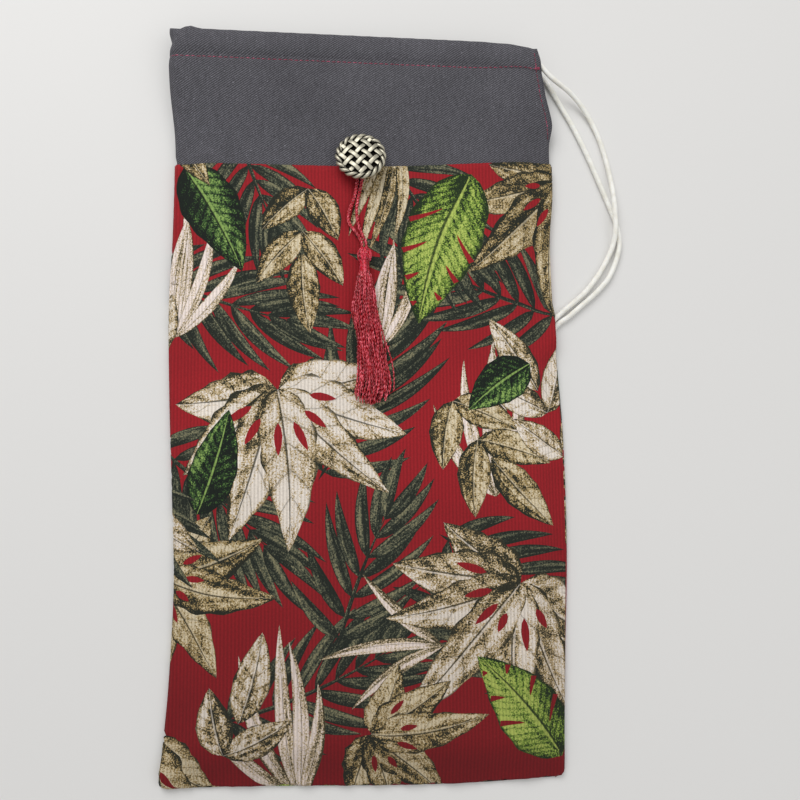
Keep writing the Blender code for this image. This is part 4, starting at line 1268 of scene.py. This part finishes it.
def make_knot(finish):
    """The overhand knot that joins the two tails, with its two short cut ends."""
    facing = math.atan2(FRONT_ROUTE[-1][1] - KNOT_Y, FRONT_ROUTE[-1][0] - KNOT_X)
    centre = Vector((KNOT_X, KNOT_Y, KNOT_HEIGHT / 2 + CORD * 0.02))
    points = []
    for t in steps(0.0, FULL_TURN, 110):
        reach = KNOT_SIZE * (2 + math.cos(3 * t))
        rise = KNOT_SIZE * KNOT_FLATNESS * math.sin(3 * t)
        points.append(centre + Vector((reach * math.cos(2 * t + facing),
                                       reach * math.sin(2 * t + facing), rise)))
    skins = [(tube_rings(points, CORD / 2 * 0.99, 14, cyclic=True), True)]
    for swing in (2.75, 3.55):
        away = Vector((math.cos(facing + swing), math.sin(facing + swing), 0))
        root = Vector((KNOT_X, KNOT_Y, CORD * 0.52)) + away * KNOT_SIZE * 1.6
        stub = [root + away * KNOT_STUB * share for share in ends(0.0, 1.0, 16)]
        skins.append((tube_rings(stub, 0, 14, shape=braid), False))
        tip = stub[-1]
        for a in steps(0.0, FULL_TURN, 14):
            off = 0.4 * CORD * (math.cos(a) * away.cross(UP) + math.sin(a) * UP)
            start = tip + off - away * 0.0004
            end = start + away * (0.0011 + 0.0004 * math.sin(5 * a)) + 0.1 * (start - tip)
            skins.append((tube_rings([start, (start + end) / 2, end], 0.00013, 5), False))
    piece = from_rings("cord_knot", skins, finish)
    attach(piece, "pouch")
    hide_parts("drawstring_knot")


# The button

def button_place():
    lift = loft(BUTTON_Y) - UNDERLAP + FIT + SHANK_RING * (1 + SHANK_DROP) + SHANK_WIRE / 2
    tilt = Euler(BUTTON_TILT).to_matrix().to_4x4()
    return Matrix.Translation((BUTTON_X, BUTTON_Y, lift)) @ tilt


def dome_height(radius):
    return PLATE_THICK + DOME_RISE * (1 - (radius / (BUTTON_DIAMETER / 2)) ** 2)


def paint(piece, name, value_of):
    """Stores a grey value of painted light and shade for each corner, from the corner's place and
    normal.
    """
    mesh = piece.data
    layer = mesh.color_attributes.new(name, "FLOAT_COLOR", "POINT")
    for vertex in mesh.vertices:
        value = value_of(vertex.co, vertex.normal)
        layer.data[vertex.index].color = (value, value, value, 1.0)


def make_button(finish):
    """The domed basket weave, the plate under it painted near-black as shade, its rope rim and its
    shank ring.
    """
    place = button_place()
    back = place.inverted()
    rope_middle = BUTTON_DIAMETER / 2 - ROPE_SPREAD - ROPE_STRAND / 2
    turn = Matrix.Rotation(STRAP_ANGLE, 4, "Z")
    reach = rope_middle - 0.0006
    section = []
    for a in steps(0.0, FULL_TURN, 16):
        c, s = math.cos(a), math.sin(a)
        section.append((math.copysign(abs(c) ** 0.35, c) * STRAP_WIDTH / 2,
                        math.copysign(abs(s) ** 0.45, s)))
    skins = []
    for along, phase in ((0, math.pi / 2), (1, -math.pi / 2)):
        for row in range(STRAP_ROWS):
            off = (row - (STRAP_ROWS - 1) / 2) * STRAP_PITCH
            half = math.sqrt(reach ** 2 - off ** 2)
            rings = []
            for run in ends(-half, half, 44):
                wave = STRAP_WAVE * math.cos(math.pi * run / STRAP_PITCH + phase + math.pi * row)
                ring = []
                for across, up in section:
                    u, v = (off + across, run) if along == 0 else (run, off + across)
                    base = dome_height(math.hypot(u, v)) + STRAP_RAISE + STRAP_WAVE + wave
                    thick = STRAP_THICK / 2 * (1 + up * (1 - 0.25 * (across / STRAP_WIDTH) ** 2))
                    ring.append(turn @ Vector((u, v, base + thick)))
                rings.append(ring)
            skins.append((rings, False))
    weave = from_rings("button_weave", skins, finish, 70, place)

    # Painted highlight on the strap tops that face up, and painted shade where the straps dip
    # under each other
    def weave_painted_light(point, normal):
        local = back @ point
        top = local.z - dome_height(math.hypot(local.x, local.y))
        facing = max((back.to_3x3() @ normal).z, 0.0)
        return smooth((top - 0.00088) / 0.0004) * smooth((facing - 0.35) / 0.55)

    paint(weave, "PaintedLight", weave_painted_light)
    skins = []
    for strand in (0.0, math.pi):
        points = []
        for a in steps(0.0, FULL_TURN, 216):
            twist = ROPE_TURNS * a + strand
            r = rope_middle + ROPE_SPREAD * math.cos(twist)
            points.append(Vector((r * math.cos(a), r * math.sin(a),
                                  ROPE_LEVEL + ROPE_SPREAD * math.sin(twist))))
        skins.append((tube_rings(points, ROPE_STRAND / 2, 12, cyclic=True), True))
    rope = from_rings("button_rope", skins, finish, 70, place)

    # Painted shade in the grooves where the rope's two strands meet, lighter on their outer crests
    def rope_painted_light(point, normal):
        local = back @ point
        away = math.hypot(math.hypot(local.x, local.y) - rope_middle, local.z - ROPE_LEVEL)
        return smooth((away - ROPE_SPREAD * 1.02) / (ROPE_STRAND * 0.40))

    paint(rope, "PaintedLight", rope_painted_light)
    profile = [(0.002, 0.0002), (rope_middle * 0.98, 0.0002), (rope_middle, 0.0006)]
    profile += [(r, dome_height(r)) for r in (rope_middle, 0.0085, 0.006, 0.003, 0.0006)]
    disc = [oval(Vector((0, 0, z)), Vector((r, 0, 0)), Vector((0, r, 0)), 64) for r, z in profile]
    ring = [Vector((SHANK_RING * math.cos(a), 0, SHANK_RING * (math.sin(a) - SHANK_DROP)))
            for a in steps(0.1, 0.1 + FULL_TURN, 40)]
    shank = tube_rings(ring, SHANK_WIRE / 2, 12, Vector((0, 1, 0)), True)
    plate = from_rings("button_plate", [(disc, False), (shank, True)], finish, 50, place)
    # Painted shade: the dome seen through the weave stays near-black, the plate's low rim and
    # shank a little lighter
    paint(plate, "PaintedLight", lambda point, normal: 0.5 if (back @ point).z < 0.0007 else 0.0)
    for piece in (weave, rope, plate):
        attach(piece, "pouch")
    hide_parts("button")


# The tassel

def loop_route():
    """The doubled cord's line, from the head round the button's shank and back."""
    radius = SHANK_RING + SHANK_WIRE / 2 + 2 * FIT + LOOP_CORD / 2
    arc = [(BUTTON_X - radius * math.cos(a), BUTTON_Y + radius * math.sin(a), 0.0)
           for a in ends(0.0, math.pi, 8)]
    level = REST_Z + 0.55 * LOOP_CORD
    at_head = REST_Z + HEAD_HEIGHT * 0.45
    return [(x, y, lift + level + (at_head - level)
             * (1 - smooth((y - HEAD_Y) / HEAD_RISE_RUN)))
            for x, y, lift in LOOP_LEFT + arc + LOOP_RIGHT]


def skirt_size(share, part):
    return through([(stop[0], stop[part]) for stop in SKIRT_SHAPE], share)


def thread_rings(points, girth, pitch, phase, count=6):
    """Rings of a two-ply thread: an oval that turns as it goes."""
    def ply(angle, walked):
        turn = FULL_TURN * walked / pitch + phase
        return girth / 2 * (1 + 0.34 * math.cos(2 * (angle - turn)))

    return tube_rings(points, 0, count, shape=ply)


def make_tassel(finish, satin):
    """The loop cord, the gathered head, the wound neck and the hanging threads."""
    path = curve_through(loop_route(), 0.00045)
    strands = [twisted(path, LOOP_CORD * 0.235, 0.0031, phase) for phase in (0.0, math.pi)]
    loop = from_rings("tassel_cord", [(tube_rings(strand, LOOP_CORD * 0.262, 9), False)
                                      for strand in strands], finish)
    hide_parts("tassel_loop")
    tuple(path[0])
    round(path_length(path), 3)
    [tuple(p) for p in path[::4] + [path[-1]]]
    chance = random.Random(21)
    middle = Vector((TASSEL_X, 0, REST_Z + HEAD_HEIGHT / 2))
    half = HEAD_LENGTH / 2

    def at(y, across, up, a):
        return middle + Vector((across * math.cos(a), y, up * math.sin(a)))

    def core(slices, count):
        return [[at(y, across, up, a) for a in steps(0.0, FULL_TURN, count)]
                for y, across, up in slices], False

    slices = []
    for b in ends(0.06, 0.94, 14):
        wide = 0.44 * math.sin(math.pi * b)
        slices.append((HEAD_Y - half + half * 0.92 * math.cos(math.pi * b),
                       wide * HEAD_WIDTH, wide * HEAD_HEIGHT))
    skins = [core(slices, 24)]
    for k in range(34):
        around_it = FULL_TURN * (k + chance.uniform(-0.3, 0.3)) / 34
        wind = chance.uniform(-0.35, 0.35)
        line = []
        for b in ends(0.03, 0.97, 22):
            a = around_it + wind * (b - 0.5) + 0.06 * math.sin(26 * b + k)
            swell = 0.48 * math.sin(math.pi * b) ** 0.40
            line.append(at(HEAD_Y - half + half * math.cos(math.pi * b),
                           HEAD_WIDTH * swell, HEAD_HEIGHT * swell, a))
        skins.append((thread_rings(line, TASSEL_THREAD, 0.0011, chance.uniform(0, 6)), False))
    head = from_rings("tassel_knob", skins, satin)
    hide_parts("tassel_head")

    start = HEAD_Y - HEAD_LENGTH + 0.0006
    end = HEAD_Y - HEAD_LENGTH - BINDING_LENGTH - 0.0008
    wide = 0.40 * BINDING_WIDTH
    skins = [core([(y, wide, wide) for y in ends(start, end, 6)], 20)]
    winding = []
    for share in ends(0.0, 1.0, WINDINGS * 24):
        a = FULL_TURN * WINDINGS * share
        radius = BINDING_WIDTH / 2 - 0.0003 + 0.0001 * math.sin(1.7 * a)
        winding.append(at(mix(start - 0.0004, end + 0.0004, share), radius, radius, a))
    skins.append((tube_rings(winding, 0.00026, 6, Vector((0, 1, 0))), False))
    neck = from_rings("tassel_neck", skins, satin)
    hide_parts("tassel_binding")

    skins = []
    top = HEAD_Y - HEAD_LENGTH - BINDING_LENGTH + 0.0004
    for k in range(SKIRT_THREADS):
        ring_share = math.sqrt((k + 0.5) / SKIRT_THREADS)
        a = k * GOLDEN_ANGLE
        u, v = ring_share * math.cos(a), ring_share * math.sin(a)
        length = SKIRT_LENGTH * chance.uniform(0.92, 1.02) * (1.0 - 0.035 * abs(u))
        stray = STRAYS[k // STRAY_STEP] if k % STRAY_STEP == STRAY_STEP - 1 else 0.0
        if stray:
            length *= 0.93
        sway, beat = chance.uniform(-0.5, 0.5), chance.uniform(0, 6.28)
        waves = chance.uniform(2.0, 4.5)
        line = []
        for down in ends(0.0, length, 108):
            place = down / SKIRT_LENGTH
            wide, tall = (skirt_size(place, part) - 0.0003 for part in (1, 2))
            x = TASSEL_X + through(SKIRT_MIDDLE, place) + stray * smooth(place - 0.1) * abs(u)
            x += wide * u
            x += 0.0006 * smooth(place * 1.6) * (sway + math.sin(waves * math.pi * place + beat))
            x += 0.00013 * math.sin(FULL_TURN * down / 0.0023 + beat)
            z = REST_Z + skirt_size(place, 2) + tall * v
            z += 0.00012 * math.cos(FULL_TURN * down / 0.0023 + beat)
            line.append(Vector((x, top - down, max(z, REST_Z + 0.0002))))
        skins.append((thread_rings(line, TASSEL_THREAD, 0.0016, beat, 5), False))
    skirt = from_rings("tassel_threads", skins, finish)
    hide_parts("tassel_skirt")
    for piece in (loop, head, neck, skirt):
        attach(piece, "tassel")


# The room

def make_room():
    shell = bmesh.new()
    bmesh.ops.create_grid(shell, x_segments=2, y_segments=2, size=2.5)
    floor_finish = Finish("pale_table", rgb(223, 222, 220), 0.6)
    floor = finished("table_top", shell, floor_finish.material, outward=False)
    floor.location.z = -0.0001
    world = bpy.data.worlds.new("studio")
    world.use_nodes = True
    nodes, links = world.node_tree.nodes, world.node_tree.links
    nodes["Background"].inputs["Color"].default_value = (1.0, 1.0, 1.0, 1.0)
    rays = nodes.new("ShaderNodeLightPath")
    seen = nodes.new("ShaderNodeMath")
    seen.operation = "MAXIMUM"
    links.new(rays.outputs["Is Camera Ray"], seen.inputs[0])
    links.new(rays.outputs["Is Glossy Ray"], seen.inputs[1])
    level = nodes.new("ShaderNodeMapRange")
    level.inputs["To Min"].default_value = SKY_LIGHT
    level.inputs["To Max"].default_value = SKY_SEEN
    links.new(seen.outputs[0], level.inputs["Value"])
    links.new(level.outputs["Result"], nodes["Background"].inputs["Strength"])
    bpy.context.scene.world = world
    for name, place, size, power in LAMPS:
        data = bpy.data.lights.new(name, "AREA")
        data.size = size
        data.energy = power
        lamp = link(name, data)
        lamp.location = place
        lamp.rotation_euler = (-Vector(place)).to_track_quat("-Z", "Y").to_euler()


def make_camera():
    turn = Matrix.Identity(3)
    for angle, axis in CAMERA_TURNS:
        turn = turn @ Matrix.Rotation(math.radians(angle), 3, axis)
    data = bpy.data.cameras.new("photo_view")
    data.sensor_fit = "HORIZONTAL"
    data.angle = math.radians(50)
    data.clip_start = 0.01
    camera = link("photo_view", data)
    camera.matrix_world = Matrix.Translation(CAMERA_PLACE) @ turn.transposed().to_4x4()
    bpy.context.scene.camera = camera


def build():
    make_camera()
    make_room()
    white = cord_finish()
    # The second colour of each thread finish is its painted highlight
    red = thread_finish("crimson_thread", rgb(176, 12, 30), rgb(246, 112, 128))
    make_knot(white)
    make_cords(white)
    make_button(silver_finish())
    make_tassel(red, thread_finish("crimson_winding", rgb(212, 20, 46), rgb(252, 104, 130), 0.3))
    band = make_band()
    cotton = make_print()
    stitches = make_stitches(thread_finish("red_sewing_thread", rgb(146, 34, 66),
                                           rgb(212, 100, 132)))
    for piece, node, slot, cut in ((cotton, "print_cloth", "printed_cotton", (0.37, 0.285)),
                                   (band, "top_band", "grey_twill", (0.37, 0.084))):
        thicken(piece, 0.0005)
        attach(piece, "pouch")
        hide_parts(node)
    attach(stitches, "pouch")
    bpy.context.scene.view_settings.view_transform = "Standard"


build()
